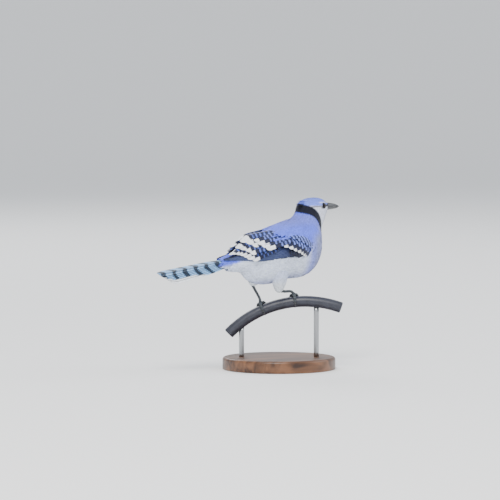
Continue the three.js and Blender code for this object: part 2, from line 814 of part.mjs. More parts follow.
function foot(leg) {
  const { place, side, ankle } = leg;
  const sole = roundRod(place, -4, 1.9);
  const shank = new THREE.CatmullRomCurve3([
    sole, offset(sole, [UP, 2.6], [ankle.clone().sub(sole).normalize(), 3]),
    offset(sole.clone().lerp(ankle, 0.6), [UP, 0.6]), ankle,
  ]);
  const radius = (share) => 1.5 + 0.7 * Math.abs(2 * share - 0.9) ** 2.5;
  const pieces = TOES.map((row) => toe(place, side, row));
  pieces.push(bar((share) => shank.getPoint(share), radius, perchAcross, 8, 7));
  return joined(pieces).subtract(solid(thigh(leg, GAP))).subtract(clearOfBody);
}

function standRod(side) {
  const distance = side * STAND_ROD_PLACE;
  const { centre } = perchAt(distance);
  const top = GRIP_HEIGHT + centre.z;
  const length = top - BASE_HEIGHT - GAP;
  const rod = new THREE.CylinderGeometry(STAND_ROD_RADIUS, STAND_ROD_RADIUS, length, 20);
  rod.rotateX(Math.PI / 2);
  rod.translate(centre.x, centre.y, BASE_HEIGHT + GAP + length / 2 - GRIP_HEIGHT);
  return solid(rod).subtract(solid(perch(PERCH_RADIUS + GAP + 0.1, 24, 24)));
}

function standBase() {
  const profile = [
    new THREE.Vector2(0, 0),
    new THREE.Vector2(BASE_RADIUS, 0),
    new THREE.Vector2(BASE_RADIUS, BASE_HEIGHT - BASE_BEVEL),
    new THREE.Vector2(BASE_RADIUS - BASE_BEVEL, BASE_HEIGHT),
    new THREE.Vector2(0, BASE_HEIGHT),
  ];
  return new THREE.LatheGeometry(profile, 30).rotateX(Math.PI / 2);
}

// The parts, each one named mesh
const model = new THREE.Group();
const bird = new THREE.Group();
bird.position.z = GRIP_HEIGHT;
model.add(bird);

function add(name, geometry, material, group = bird) {
  const mesh = new THREE.Mesh(geometry, material);
  mesh.name = name;
  group.add(mesh);
}

const torso = joined([bodyLength(0, NECK_START, 18, BODY_SIDES), ...tailCoverts()]);
add('torso', largest(torso), finish(PALE_PLUMAGE, 0.85));
const neck = bodyLength(NECK_START, HEAD_START, 4, BODY_SIDES, 0, GAP);
add('neck', neck, finish(BLUE_PLUMAGE, 0.85));
add('head', largest(head()), finish(BLUE_PLUMAGE, 0.85));

const upperBill = solid(billHalf(1, BILL_LENGTH, CULMEN_HEIGHT)).subtract(joined([nostril(1), nostril(-1)]));
const faceClear = solid(bodyLength(0.5, 1, 12, BODY_SIDES, GAP));
const bristlesClear = joined(bristles());
add('bill_upper', largest(upperBill.subtract(faceClear).subtract(bristlesClear)), finish(BLACK_HORN, 0.35));
const lowerBill = solid(billHalf(-1, JAW_LENGTH, JAW_DEPTH));
add('bill_lower', largest(lowerBill.subtract(faceClear)), finish(BLACK_HORN, 0.35));
add('eye_right', eyeball(1, EYE_RADIUS), finish(EYE_BROWN, 0.1));
add('eye_left', eyeball(-1, EYE_RADIUS), finish(EYE_BROWN, 0.1));

const rightWing = largest(wing());
add('wing_right', rightWing, finish(WING_BLUE, 0.7));
add('wing_left', mirrored(rightWing), finish(WING_BLUE, 0.7));
const tail = joined([tailCore(), ...tailFeathers()]).subtract(joined(tailCoverts(GAP + 0.05)));
add('tail', largest(tail), finish(TAIL_BLUE, 0.7));

for (const [name, leg] of Object.entries(LEGS)) {
  add(`thigh_${name}`, largest(solid(thigh(leg)).subtract(clearOfBody)), finish(WHITE_PLUMAGE, 0.9));
  add(`foot_${name}`, largest(foot(leg)), finish(LEG_GREY, 0.5));
  for (const row of TOES) {
    add(`claw_${name}_${row.name}`, claw(leg.place, leg.side, row), finish(BLACK_HORN, 0.4));
  }
}

add('stand_perch', perch(PERCH_RADIUS, 14, 12), finish(PERCH_PAINT, 0.45, 0.3));
add('stand_rod_left', largest(standRod(-1)), finish(PERCH_PAINT, 0.45, 0.3));
add('stand_rod_right', largest(standRod(1)), finish(PERCH_PAINT, 0.45, 0.3));
add('stand_base', standBase(), finish(BASE_WOOD, 0.55), model);

export default model;
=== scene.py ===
import math

import bpy
import numpy as np
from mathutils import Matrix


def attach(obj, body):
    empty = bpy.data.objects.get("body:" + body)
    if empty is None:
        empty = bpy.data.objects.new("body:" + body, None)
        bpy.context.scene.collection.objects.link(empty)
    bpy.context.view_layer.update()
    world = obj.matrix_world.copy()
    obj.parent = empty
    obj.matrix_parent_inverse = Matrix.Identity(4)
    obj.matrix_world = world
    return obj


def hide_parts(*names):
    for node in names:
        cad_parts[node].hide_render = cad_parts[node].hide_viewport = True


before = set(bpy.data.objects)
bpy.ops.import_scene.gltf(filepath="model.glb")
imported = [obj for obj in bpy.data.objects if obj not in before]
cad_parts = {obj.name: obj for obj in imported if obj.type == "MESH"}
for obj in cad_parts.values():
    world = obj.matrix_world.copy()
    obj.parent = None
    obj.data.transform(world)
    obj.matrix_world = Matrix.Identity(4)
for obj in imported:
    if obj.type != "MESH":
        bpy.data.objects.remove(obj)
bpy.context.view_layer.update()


# The camera. It looks at the jay's right side from a little behind and just above, from far off
# with a long lens, as the photo does. Its aim is set by where the grip of the feet lies in view.
GRIP = np.array([0, 0, 0.074])
CAMERA_TURN = math.radians(-32)
CAMERA_RISE = math.radians(3.5)
CAMERA_DISTANCE = 4.0
VIEW_WIDTH = 0.575
AIM_LEFT_OF_GRIP = 0.0333
AIM_OVER_GRIP = 0.0628

view_right = np.array([math.cos(CAMERA_TURN), math.sin(CAMERA_TURN), 0])
view_back = np.array([math.sin(CAMERA_TURN) * math.cos(CAMERA_RISE),
                      -math.cos(CAMERA_TURN) * math.cos(CAMERA_RISE), math.sin(CAMERA_RISE)])
view_up = np.cross(view_back, view_right)
aim = GRIP - view_right * AIM_LEFT_OF_GRIP + view_up * AIM_OVER_GRIP

camera_data = bpy.data.cameras.new("camera")
camera_data.sensor_width = 36
camera_data.lens = camera_data.sensor_width * CAMERA_DISTANCE / VIEW_WIDTH
camera_data.clip_end = 100
camera = bpy.data.objects.new("camera", camera_data)
camera.location = aim + view_back * CAMERA_DISTANCE
camera.rotation_euler = (math.pi / 2 - CAMERA_RISE, 0, CAMERA_TURN)
bpy.context.scene.collection.objects.link(camera)
bpy.context.scene.camera = camera


# The studio. A pale floor that turns up into a plain wall far behind the model on every side,
# one broad soft lamp high to the left of the camera, a weaker one opposite, and an even sky.
def placed(mesh):
    """An object at the origin, named as its smooth mesh, in the scene."""
    mesh.polygons.foreach_set("use_smooth", np.ones(len(mesh.polygons), bool))
    mesh.update()
    made = bpy.data.objects.new(mesh.name, mesh)
    bpy.context.scene.collection.objects.link(made)
    return made


def new_object(name, corners, faces):
    """An object from an array of corners in metres and an array of faces."""
    mesh = bpy.data.meshes.new(name)
    mesh.from_pydata(np.asarray(corners).tolist(), [], np.asarray(faces).tolist())
    return placed(mesh)


def crossings(down, across):
    """Two tables, of the value down and of the value across at each crossing."""
    return np.meshgrid(down, across, indexing="ij")


def grid_faces(rows, columns, wrap=False):
    """Four-sided faces between the points of a grid, row after row. With wrap, columns close."""
    row, column = crossings(np.arange(rows - 1), np.arange(columns if wrap else columns - 1))
    after = (column + 1) % columns
    corners = [row * columns + column, row * columns + after,
               (row + 1) * columns + after, (row + 1) * columns + column]
    return np.stack(corners, -1).reshape(-1, 4)


def round_angles(count):
    """Even angles round a full turn."""
    return np.linspace(0, 2 * math.pi, count, endpoint=False)


def tone(red, green, blue):
    """Linear colour of a colour given in display values from 0 to 255."""
    shown = np.array([red, green, blue]) / 255
    return np.where(shown <= 0.04045, shown / 12.92, ((shown + 0.055) / 1.055) ** 2.4)


def srgb(red, green, blue):
    """The same colour for a socket, with its fourth value."""
    return (*tone(red, green, blue), 1.0)


def new_material(name, roughness, specular=0.5):
    """A node material with its shader, ready for colour and bump."""
    material = bpy.data.materials.new(name)
    material.use_nodes = True
    shader = material.node_tree.nodes["Principled BSDF"]
    shader.inputs["Roughness"].default_value = roughness
    shader.inputs["Specular IOR Level"].default_value = specular
    return material, material.node_tree, shader


FLOOR_RADIUS = 5.5
WALL_CURVE = 3.0
turns = round_angles(96)
rise = np.linspace(0, math.pi / 2, 16)
floor_reach = np.concatenate([[0.001], FLOOR_RADIUS + WALL_CURVE * np.sin(rise)])
floor_height = np.concatenate([[0], WALL_CURVE * (1 - np.cos(rise))])
floor_points = np.stack([floor_reach[:, None] * np.cos(turns), floor_reach[:, None] * np.sin(turns),
                         np.repeat(floor_height[:, None], len(turns), 1)], -1)
floor_faces = grid_faces(len(floor_reach), len(turns), True)
floor = new_object("floor", floor_points.reshape(-1, 3), floor_faces)
floor_paint, tree, shader = new_material("floor_paint", 0.85, 0.2)
shader.inputs["Base Color"].default_value = srgb(250, 250, 249)
floor.data.materials.append(floor_paint)


def soft_lamp(name, place, size, power, colour):
    """A square area lamp at a place, aimed at the bird."""
    data = bpy.data.lights.new(name, "AREA")
    data.size = size
    data.energy = power
    data.color = colour
    lamp = bpy.data.objects.new(name, data)
    lamp.location = place
    away = np.array(place) - (GRIP + np.array([0, 0, 0.06]))
    lamp.rotation_euler = (math.acos(away[2] / np.linalg.norm(away)), 0,
                           math.atan2(away[1], away[0]) + math.pi / 2)
    bpy.context.scene.collection.objects.link(lamp)


soft_lamp("key_lamp", (-1.7, -1.9, 2.9), 1.5, 150, (1, 0.985, 0.96))
soft_lamp("fill_lamp", (2.4, -0.9, 1.6), 1.8, 34, (0.92, 0.95, 1))
soft_lamp("back_lamp", (0.6, 2.8, 2.2), 1.6, 45, (1, 1, 1))
world = bpy.data.worlds.new("even_sky")
world.use_nodes = True
sky = world.node_tree.nodes["Background"]
sky.inputs["Color"].default_value = srgb(235, 240, 248)
sky.inputs["Strength"].default_value = 0.9
bpy.context.scene.world = world


# The skin of the whole body, from tail root to bill: a few rounded masses of flesh, blended. It is
# measured in millimetres from the grip of the feet, the bird facing +X with its left to +Y, and
# lies inside the plumage by the depth of the small feathers.
HEAD_TURN = 15
HEAD_CENTRE = np.array([44.0, 0, 112])
BLEND = 9
MASSES = [
    ((2, 0, 61.5), (56, 27, 30.5), 27, 0),
    ((-28, 0, 65), (34, 19, 13), 20, 0),
    ((-46, 0, 53), (32, 14, 11.5), 12, 0),
    ((23, 0, 62), (32, 26, 30), 60, 0),
    ((35, 0, 86), (19, 16, 15.5), 75, 0),
    ((39, 0, 98.5), (16, 14.5, 13.5), 70, 0),
    ((48, 1, 100), (14, 12, 11), 20, HEAD_TURN),
    ((44, 0, 112), (19.5, 13.5, 9.8), 3, HEAD_TURN),
    ((57, 3.5, 110.5), (9, 7, 6.5), -3, HEAD_TURN),
]
SHOULDERS = [
    ((3, -17.5, 71.5), (38, 13.5, 17), 12, 0),
    ((3, 17.5, 71.5), (38, 13.5, 17), 12, 0),
]
SKIN_DEPTH = 1.1
UPWARD = np.array([0, 0, 1.0])
SPINE = [(-66, 0, 52.5), (-46, 0, 55), (-24, 0, 58), (0, 0, 62.5), (20, 0, 73),
         (31, 0, 87), (38, 0, 99), (44, 0, 107.5), (53, 2, 110.5), (64, 5.2, 110.8)]
LEAN = [(10, 0, 0), (12, 0, 0), (17, 0, 0), (27, 0, 0), (46, 0, 0),
        (62, 0, 0), (62, 4, 0), (36, 10, 0), (8, 15, 0), (0, 15, 0)]


def lie_matrix(pitch, turn):
    """Columns are a mass's own axes: along it with its nose up by pitch, to its left, and up."""
    p, t = math.radians(pitch), math.radians(turn)
    return np.array([[math.cos(p) * math.cos(t), -math.sin(t), -math.sin(p) * math.cos(t)],
                     [math.cos(p) * math.sin(t), math.cos(t), -math.sin(p) * math.sin(t)],
                     [math.sin(p), 0, math.cos(p)]])


def outside(points, masses):
    """How far points lie outside blended ellipsoids: each one's distance is about
    |p/h| (|p/h| - 1) / |p/h^2| with p in its own axes, and two near-equal distances merge smoothly."""
    nearest = np.full(points.shape[:-1], np.inf)
    for centre, half, pitch, turn in masses:
        half = np.array(half)
        scaled = (points - np.array(centre)) @ lie_matrix(pitch, turn) / half
        reach = np.linalg.norm(scaled, axis=-1)
        steepness = np.maximum(np.linalg.norm(scaled / half, axis=-1), 1e-9)
        distance = reach * (reach - 1) / steepness
        share = np.maximum(BLEND - np.abs(nearest - distance), 0) / BLEND
        nearest = np.minimum(nearest, distance) - share * share * BLEND / 4
    return nearest


def unit(vectors):
    """Vectors scaled to length 1."""
    return vectors / np.maximum(np.linalg.norm(vectors, axis=-1, keepdims=True), 1e-9)


def slope(points, masses):
    """Unit vectors straight out of the blended masses, from small steps along each axis."""
    step = 0.05
    here = outside(points, masses)
    return unit(np.stack([outside(points + step * axis, masses) - here for axis in np.eye(3)], -1))


def settle(points, level, masses):
    """Points moved straight in or out, twice, to lie at a level over the blended masses."""
    for _ in range(2):
        out = slope(points, masses)
        points = points - (outside(points, masses) - level)[..., None] * out
    return points


def smooth_line(knots, places):
    """Points of the centripetal Catmull-Rom curve through knots, at places from 0 to 1. Each
    piece is a cubic whose end slopes come from the square roots of the knots' distances."""
    knots = np.array(knots, float)
    padded = np.vstack([2 * knots[0] - knots[1], knots, 2 * knots[-1] - knots[-2]])
    at = np.clip(np.asarray(places, float), 0, 1) * (len(knots) - 1)
    left = np.minimum(at.astype(int), len(knots) - 2)
    share = (at - left)[..., None]
    p0, p1, p2, p3 = (padded[left + k] for k in range(4))
    d0, d1, d2 = (np.maximum(np.linalg.norm(b - a, axis=-1, keepdims=True), 1e-6) ** 0.5
                  for a, b in ((p0, p1), (p1, p2), (p2, p3)))
    start = ((p1 - p0) / d0 - (p2 - p0) / (d0 + d1) + (p2 - p1) / d1) * d1
    end = ((p2 - p1) / d1 - (p3 - p1) / (d1 + d2) + (p3 - p2) / d2) * d1
    return (p1 + start * share + (3 * p2 - 3 * p1 - 2 * start - end) * share ** 2
            + (2 * p1 - 2 * p2 + start + end) * share ** 3)


def body_surface(rows, nose_rows, columns, level, masses):
    """A grid of points on the body: rays in a fan of planes along the spine, each followed out
    to where it leaves the masses by the level. Rows run from tail to bill, columns round. The
    nose rows start at the end of the spine and lean forward to round off the face."""
    share = np.concatenate([np.linspace(0, 1, rows), np.ones(nose_rows)])
    tilt = np.concatenate([np.zeros(rows), np.radians(np.linspace(9, 84, nose_rows))])[:, None, None]
    centre = smooth_line(SPINE, share)
    pitch, turn = np.radians(smooth_line(LEAN, share)[:, :2]).T
    along = np.stack([np.cos(pitch) * np.cos(turn), np.cos(pitch) * np.sin(turn), np.sin(pitch)], -1)
    left = np.stack([-np.sin(turn), np.cos(turn), 0 * turn], -1)
    up = np.cross(along, left)
    angle = round_angles(columns)[None, :, None]
    ray = left[:, None] * np.cos(angle) + up[:, None] * np.sin(angle)
    ray = ray * np.cos(tilt) + along[:, None] * np.sin(tilt)
    start = centre[:, None]
    near = np.zeros((len(share), columns, 1))
    far = near + 2
    for _ in range(38):
        inside = outside(start + ray * far, masses)[..., None] < level
        near = np.where(inside, far, near)
        far = np.where(inside, far + 2, far)
    for _ in range(14):
        middle = (near + far) / 2
        inside = outside(start + ray * middle, masses)[..., None] < level
        near = np.where(inside, middle, near)
        far = np.where(inside, far, middle)
    return start + ray * (near + far) / 2


def to_world(points):
    """Metres in the model's frame from millimetres measured at the grip."""
    return np.asarray(points) * 0.001 + GRIP


def capped(grid):
    """Corners and faces of a closed tube of rings, each end filled by a fan round its middle."""
    rows, columns = grid.shape[:2]
    corners = np.vstack([grid.reshape(-1, 3), grid[0].mean(0), grid[-1].mean(0)])
    faces = grid_faces(rows, columns, True).tolist()
    last = (rows - 1) * columns
    for k in range(columns):
        after = (k + 1) % columns
        faces.append([rows * columns, after, k])
        faces.append([rows * columns + 1, last + k, last + after])
    return corners, faces


def turned_in(corners, faces):
    """True where faces enclose a volume below zero, so that they point inward."""
    first, second, third = (corners[[face[k] for face in faces]] for k in range(3))
    return (first * np.cross(second, third)).sum() < 0


def new_tube(name, grid):
    """An object from the rings of a closed tube in millimetres, its faces turned outward."""
    corners, faces = capped(grid)
    mesh = bpy.data.meshes.new(name)
    mesh.from_pydata(to_world(corners).tolist(), [], faces)
    if turned_in(corners, faces[::7]):
        mesh.flip_normals()
    return placed(mesh)


skin_grid = body_surface(120, 10, 96, -SKIN_DEPTH, MASSES)
skin = new_tube("body_skin", skin_grid)


# Where the jay's colours lie. Lavender blue above, white on the face, flanks and vent, grey on
# the breast, and a black necklace that runs from under the crest down each side of the neck.
LAVENDER = tone(98, 118, 248)
CROWN_BLUE = tone(118, 142, 248)
NECK_BLUE = tone(112, 124, 222)
BREAST_GREY = tone(142, 150, 198)
BELLY_GREY = tone(184, 194, 232)
FLANK_WHITE = tone(222, 232, 252)
FACE_WHITE = tone(222, 226, 242)
JET = tone(16, 18, 36)
NECKLACE = [
    ((22.5, -1, 110.5), 4.6), ((27.5, -10.3, 109.6), 5.2), ((32.1, -13.5, 108.4), 5.0),
    ((36.8, -15.2, 106.2), 4.6), ((41.2, -15.9, 102.6), 4.1), ((44.8, -16, 97.5), 3.6),
    ((47.4, -15, 91.6), 3.0), ((49.4, -12.6, 85.6), 2.4), ((53, -6.5, 80.5), 1.9),
    ((54.5, 0, 78.8), 1.8), ((52.5, 7.5, 81), 1.9), ((47.5, 13.5, 87), 2.4), ((42.5, 16.5, 94), 3.2),
    ((36, 16.5, 101), 4.0), ((29, 13.5, 106), 4.8), ((23.5, 6, 109.5), 4.8), ((22.5, -1, 110.5), 4.6),
]


def ease(value, low, high):
    """0 below low, 1 above high and a smooth S between."""
    share = np.clip((value - low) / (high - low), 0, 1)
    return share * share * (3 - 2 * share)


def mix(first, second, share):
    """Colours blended by a share for each point."""
    return first * (1 - share[..., None]) + second * share[..., None]


turn = math.radians(HEAD_TURN)
head_forward = np.array([math.cos(turn), math.sin(turn), 0])
head_right = np.array([head_forward[1], -head_forward[0], 0])


def in_head(points):
    """Places in the turned head: forward to the bill, out to the bird's right, and up."""
    away = points - HEAD_CENTRE
    return away @ head_forward, away @ head_right, away[..., 2]


def from_axes(origin, axes, *distances):
    """Points at three distances from an origin, each along its own axis."""
    return origin + np.stack(np.broadcast_arrays(*distances), -1) @ np.array(axes)


def from_head(forward, right, up):
    """Points from such places."""
    return from_axes(HEAD_CENTRE, (head_forward, head_right, UPWARD), forward, right, up)


def from_necklace(points):
    """How far points lie from the necklace's line, less its half width there."""
    nearest = np.full(points.shape[:-1], np.inf)
    for (start, wide), (end, wide_end) in zip(NECKLACE[:-1], NECKLACE[1:]):
        run = np.subtract(end, start)
        share = np.clip((points - start) @ run / (run @ run), 0, 1)
        gap = np.linalg.norm(points - start - share[..., None] * run, axis=-1)
        nearest = np.minimum(nearest, gap - (wide + (wide_end - wide) * share))
    return nearest


def plumage_colour(points, out):
    """The colour of the coat at points whose outward directions are known."""
    x, y, z = np.moveaxis(points, -1, 0)
    tilt = out[..., 2]
    forward, right, up = in_head(points)
    colour = np.broadcast_to(LAVENDER, points.shape).copy()
    under = ease(-tilt - 0.25 * ease(x, 0, 40), -0.25, 0.1)
    colour = mix(colour, FLANK_WHITE, under * (1 - ease(x, 18, 38)))
    belly = ease(-tilt, 0.55, 0.95) * ease(x, -50, -30) * (1 - ease(x, 20, 44))
    colour = mix(colour, BELLY_GREY, belly)
    breast = ease(x, 22, 40) * ease(-tilt, -0.55, 0.0) * (1 - ease(z, 84, 100))
    colour = mix(colour, BREAST_GREY, breast)
    neck = ease(z, 88, 97) * (1 - ease(z, 101, 106)) * (1 - ease(x, 44, 54))
    colour = mix(colour, NECK_BLUE, neck)
    ahead = 0.7 * (x - 38) + 0.72 * (z - 93.5) - 4 * (y / 15) ** 2
    face = ease(ahead, -0.5, 1.5) * (1 - ease(up, 0.8, 2.4))
    colour = mix(colour, FACE_WHITE, face)
    crown = ease(ahead, -0.5, 1.5) * ease(up, 0.8, 2.4)
    colour = mix(colour, CROWN_BLUE, crown)
    brow = (1 - ease(np.abs(up - 4.6), 0.4, 1.1)) * ease(forward, -2, 4) * (1 - ease(forward, 15, 18))
    colour = mix(colour, FACE_WHITE, 0.75 * crown * brow)
    sideways = ease(np.abs(right), 5, 8)
    lore = (1 - ease(np.abs(up - 0.9), 0.7, 1.5)) * ease(forward, 10, 12) * ease(np.abs(right), 3, 4)
    behind_eye = (1 - ease(np.abs(up - 0.6 - 0.05 * forward), 0.3, 0.9)) * (1 - ease(forward, 2, 5))
    mask = np.maximum(lore, 0.8 * behind_eye * sideways * ease(ahead, -1, 1))
    smudge = np.hypot((forward - 5.5) / 5.0, (up + 0.9) / 2.3)
    mask = np.maximum(mask, 0.72 * (1 - ease(smudge, 0.6, 1.05)) * sideways)
    front = ease(forward, 18.6, 19.8) * ease(up, -2.5, -1.0) * (1 - ease(up, 4.2, 5.0))
    colour = mix(colour, JET, np.clip(np.maximum(mask, front), 0, 1))
    return mix(colour, JET, 1 - ease(from_necklace(points), -0.7, 0.5))


# The lie of the folded wings. The outer face of the right wing is a sheet between three lines, its
# upper edge, its middle and its lower edge, each from the shoulder back to the wing tip.
WING_TOP = [(34, -13, 88), (5, -11, 91), (-24, -8, 86), (-45, -5.5, 81),
            (-57, -5.5, 72), (-71, -7.5, 62.2), (-84, -9, 58.6)]
WING_MIDDLE = [(38, -22, 75), (8, -32, 74), (-22, -28.5, 69), (-44, -21, 65),
               (-58, -16, 61.5), (-71, -12.5, 59), (-84, -10, 57.8)]
WING_LOW = [(30, -23, 60), (12, -29, 55.5), (-14, -29, 53), (-38, -24.5, 51.5),
            (-54, -18.5, 51.8), (-70, -14, 54.4), (-84, -10.8, 56.8)]
MANTLE_EDGE_DOWN = [0.0, 0.13, 0.30, 0.42, 0.64, 1.0]
MANTLE_EDGE_ALONG = [0.30, 0.27, 0.21, 0.08, 0.04, 0.05]


def wing_face(along, down):
    """Points of the wing's face: t (1 - d)^2 + 2 c d (1 - d) + l d^2 between the upper line t and
    the lower line l, where c pulls the sheet through the middle line at d = 1/2."""
    top, middle, low = (smooth_line(line, along) for line in (WING_TOP, WING_MIDDLE, WING_LOW))
    bulge = 2 * middle - 0.5 * top - 0.5 * low
    d = np.asarray(down)[..., None]
    return top * (1 - d) ** 2 + 2 * bulge * d * (1 - d) + low * d ** 2


def wing_out(along, down):
    """Unit vectors out of the wing's face."""
    step = 0.02
    back = wing_face(np.minimum(along + step, 1), down) - wing_face(np.maximum(along - step, 0), down)
    lower = wing_face(along, down + step) - wing_face(along, down - step)
    return unit(np.cross(back, lower))


def under_wing(points):
    """True for points that the folded wings hide: under a wing's face, behind the mantle's edge."""
    along, down = crossings(np.linspace(0, 0.95, 60), np.linspace(0, 1, 30))
    face, out = wing_face(along, down).reshape(-1, 3), wing_out(along, down).reshape(-1, 3)
    along, down = along.ravel(), down.ravel()
    folded = points * np.array([1, 0, 1]) - np.abs(points) * np.array([0, 1, 0])
    hidden = np.zeros(len(points), bool)
    for first in range(0, len(points), 1000):
        here = folded[first:first + 1000]
        gap = np.linalg.norm(here[:, None] - face[None], axis=-1)
        near = gap.argmin(1)
        height = ((here - face[near]) * out[near]).sum(-1)
        aside = np.sqrt(np.maximum(gap[np.arange(len(here)), near] ** 2 - height ** 2, 0))
        edge = np.interp(down[near], MANTLE_EDGE_DOWN, MANTLE_EDGE_ALONG)
        hidden[first:first + 1000] = (aside < 1.6) & (along[near] > edge) & (down[near] < 0.97)
    return hidden


# Where the eyes lie in the turned head. No feather crosses the opening between the lids.
EYE_RADIUS = 3.9
EYE_FORWARD = 8.2
EYE_OUT = 10.5
EYE_UP = 0.7
EYE_OPENING = 2.85


def over_eye(corners):
    """True for blades with any corner in front of the opening of an eye, which is a little
    longer than it is high."""
    forward, right, up = in_head(corners)
    reach = np.hypot((forward - EYE_FORWARD) / 1.12, (up - EYE_UP) / 0.95)
    return ((reach < EYE_OPENING) & (np.abs(right) > EYE_OUT - 3)).any((1, 2))


# The small body feathers. Each is a thin closed blade with a raised shaft that lies along the
# body over the ones behind it. They are smallest on the face and longest on the flanks and rump.
rng = np.random.default_rng(7)
PLUMAGE = "plumage"
BLADE_STATIONS = np.array([0, 0.28, 0.55, 0.78, 0.93, 1.0])
BLADE_SHAPE = np.array([0.35, 0.82, 1.0, 0.80, 0.44, 0.10])
BLADE_COLUMNS = np.array([-1, 0, 1])
ROOT_CROWDING = 0.62
BAKE_PATCH = 0.003


def spread_roots(rows_of, spacing):
    """Roots in staggered rows over the body: rows a spacing apart along it and, in each row,
    roots closer together round it, jittered. Gives places (along, round) and sizes."""
    table_rows, table_columns = rows_of.shape[:2]
    share = np.linspace(0, 1, table_rows)
    step = np.linalg.norm(np.diff(rows_of, axis=0), axis=-1).mean(1)
    travelled = np.concatenate([[0], np.cumsum(step / spacing(0.5 * (share[1:] + share[:-1])))])
    count = int(travelled[-1])
    row_share = np.interp(np.arange(count) + 0.5, travelled, share)
    places = []
    for number, at in enumerate(row_share):
        ring = rows_of[min(int(at * (table_rows - 1) + 0.5), table_rows - 1)]
        length = np.linalg.norm(np.roll(ring, -1, 0) - ring, axis=-1)
        run = np.concatenate([[0], np.cumsum(length)])
        many = max(int(run[-1] / spacing(at) / ROOT_CROWDING), 4)
        around = np.interp((np.arange(many) + 0.5 * (number % 2)) / many * run[-1], run,
                           np.arange(table_columns + 1) / table_columns)
        places.append(np.stack([np.full(many, at), around], -1))
    places = np.vstack(places)
    size = spacing(places[:, 0])
    row_gap = 1 / table_rows * size / np.interp(places[:, 0], share[1:], step)
    places[:, 0] = np.clip(places[:, 0] + rng.uniform(-0.3, 0.3, len(places)) * row_gap, 0, 1)
    places[:, 1] = (places[:, 1] + rng.uniform(-0.004, 0.004, len(places))) % 1
    return places, size


def on_table(table, places):
    """Points of a body table at places (along, round), between its rows and columns."""
    rows, columns = table.shape[:2]
    at = places[:, 0] * (rows - 1)
    low = np.minimum(at.astype(int), rows - 2)
    turn = places[:, 1] * columns
    left = turn.astype(int) % columns
    right = (left + 1) % columns
    a, b = (at - low)[:, None], (turn - turn.astype(int))[:, None]
    return ((table[low, left] * (1 - b) + table[low, right] * b) * (1 - a)
            + (table[low + 1, left] * (1 - b) + table[low + 1, right] * b) * a)


def blades(roots, back, length, width, masses, sink, lift, arch):
    """Corners (feather, station, left-shaft-right) of blades that leave their roots going back at
    the level sink, hug the body and end at the level lift."""
    out = slope(roots, masses)
    back = unit(back - (back * out).sum(-1, keepdims=True) * out)
    across = np.cross(out, back)
    run = BLADE_STATIONS[None, :, None, None] * length[:, None, None, None]
    side = BLADE_COLUMNS[:, None] * BLADE_SHAPE[None, :, None, None] * width[:, None, None, None]
    points = roots[:, None, None] + back[:, None, None] * run + across[:, None, None] * side
    rising = ease(BLADE_STATIONS, 0, 0.75)[None, :, None]
    level = sink[:, None, None] * (1 - rising) + lift[:, None, None] * rising
    ridge = arch * width[:, None, None] * BLADE_SHAPE[None, :, None] * np.array([0, 1, 0])
    return settle(points, level + ridge, masses)


def store_colours(mesh, colours):
    """Keeps a colour for each corner of a mesh, for its material to read."""
    stored = mesh.attributes.new(PLUMAGE, "FLOAT_COLOR", "POINT")
    opaque = np.ones((len(mesh.vertices), 1))
    stored.data.foreach_set("color", np.concatenate([colours.reshape(-1, 3), opaque], 1).ravel())


def coat_object(name, corners, places, colour, material):
    """One coat piece from blades, each two upper strips, one under strip and two ends: its mesh
    with crisp sides, the colour of each corner, a map along each blade and the OFBake map, where
    a blade is a small patch at its root's place on the skin."""
    count, stations = corners.shape[:2]
    first = np.arange(count)[:, None] * stations * 3
    last = first + (stations - 1) * 3
    quads = (first[:, :, None] + grid_faces(stations, 3, True)).reshape(-1, 4)
    ends = np.vstack([first + np.array([2, 1, 0]), last + np.array([0, 1, 2])])
    loops = np.concatenate([quads.ravel(), ends.ravel()])
    starts = np.concatenate([np.arange(len(quads)) * 4, len(quads) * 4 + np.arange(len(ends)) * 3])
    mesh = bpy.data.meshes.new(name)
    mesh.vertices.add(count * stations * 3)
    mesh.vertices.foreach_set("co", to_world(corners).ravel())
    mesh.loops.add(len(loops))
    mesh.loops.foreach_set("vertex_index", loops)
    mesh.polygons.add(len(starts))
    mesh.polygons.foreach_set("loop_start", starts)
    mesh.update(calc_edges=True)
    edge_ends = np.empty(len(mesh.edges) * 2, np.int32)
    mesh.edges.foreach_get("vertices", edge_ends)
    column = edge_ends.reshape(-1, 2) % 3
    crisp = mesh.attributes.new("sharp_edge", "BOOLEAN", "EDGE")
    crisp.data.foreach_set("value", (column[:, 0] == column[:, 1]) & (column[:, 0] != 1))
    store_colours(mesh, np.broadcast_to(colour, corners.shape))
    spot = np.stack(np.broadcast_arrays(BLADE_COLUMNS / 2 + 0.5, BLADE_STATIONS[:, None]), -1)
    vane = np.broadcast_to(spot, (count, stations, 3, 2))
    bake = places[:, None, None, ::-1] * 0.99 + spot * BAKE_PATCH
    for title, values in (("Vane", vane), ("OFBake", bake)):
        layer = mesh.uv_layers.new(name=title)
        layer.data.foreach_set("uv", values.reshape(-1, 2)[loops].ravel())
    mesh.materials.append(material)
    return placed(mesh)


def add_node(tree, kind, feeds, **settings):
    """A shader node with its settings. Each feed is a value for a socket or an output to link."""
    made = tree.nodes.new("ShaderNode" + kind)
    for setting, value in settings.items():
        setattr(made, setting, value)
    for socket, value in feeds.items():
        if isinstance(value, bpy.types.NodeSocket):
            tree.links.new(value, made.inputs[socket])
        else:
            made.inputs[socket].default_value = value
    return made


def speckle(tree, scale, stretch=None, turned=0.0, **more):
    """Noise over a piece's own place, at a scale for each metre, drawn out by a stretch."""
    place = add_node(tree, "TexCoord", {}).outputs["Object"]
    if stretch:
        place = add_node(tree, "Mapping", {"Vector": place, "Scale": stretch,
                                           "Rotation": (0, 0, turned)}).outputs["Vector"]
    return add_node(tree, "TexNoise", {"Vector": place, "Scale": scale, **more}).outputs["Fac"]


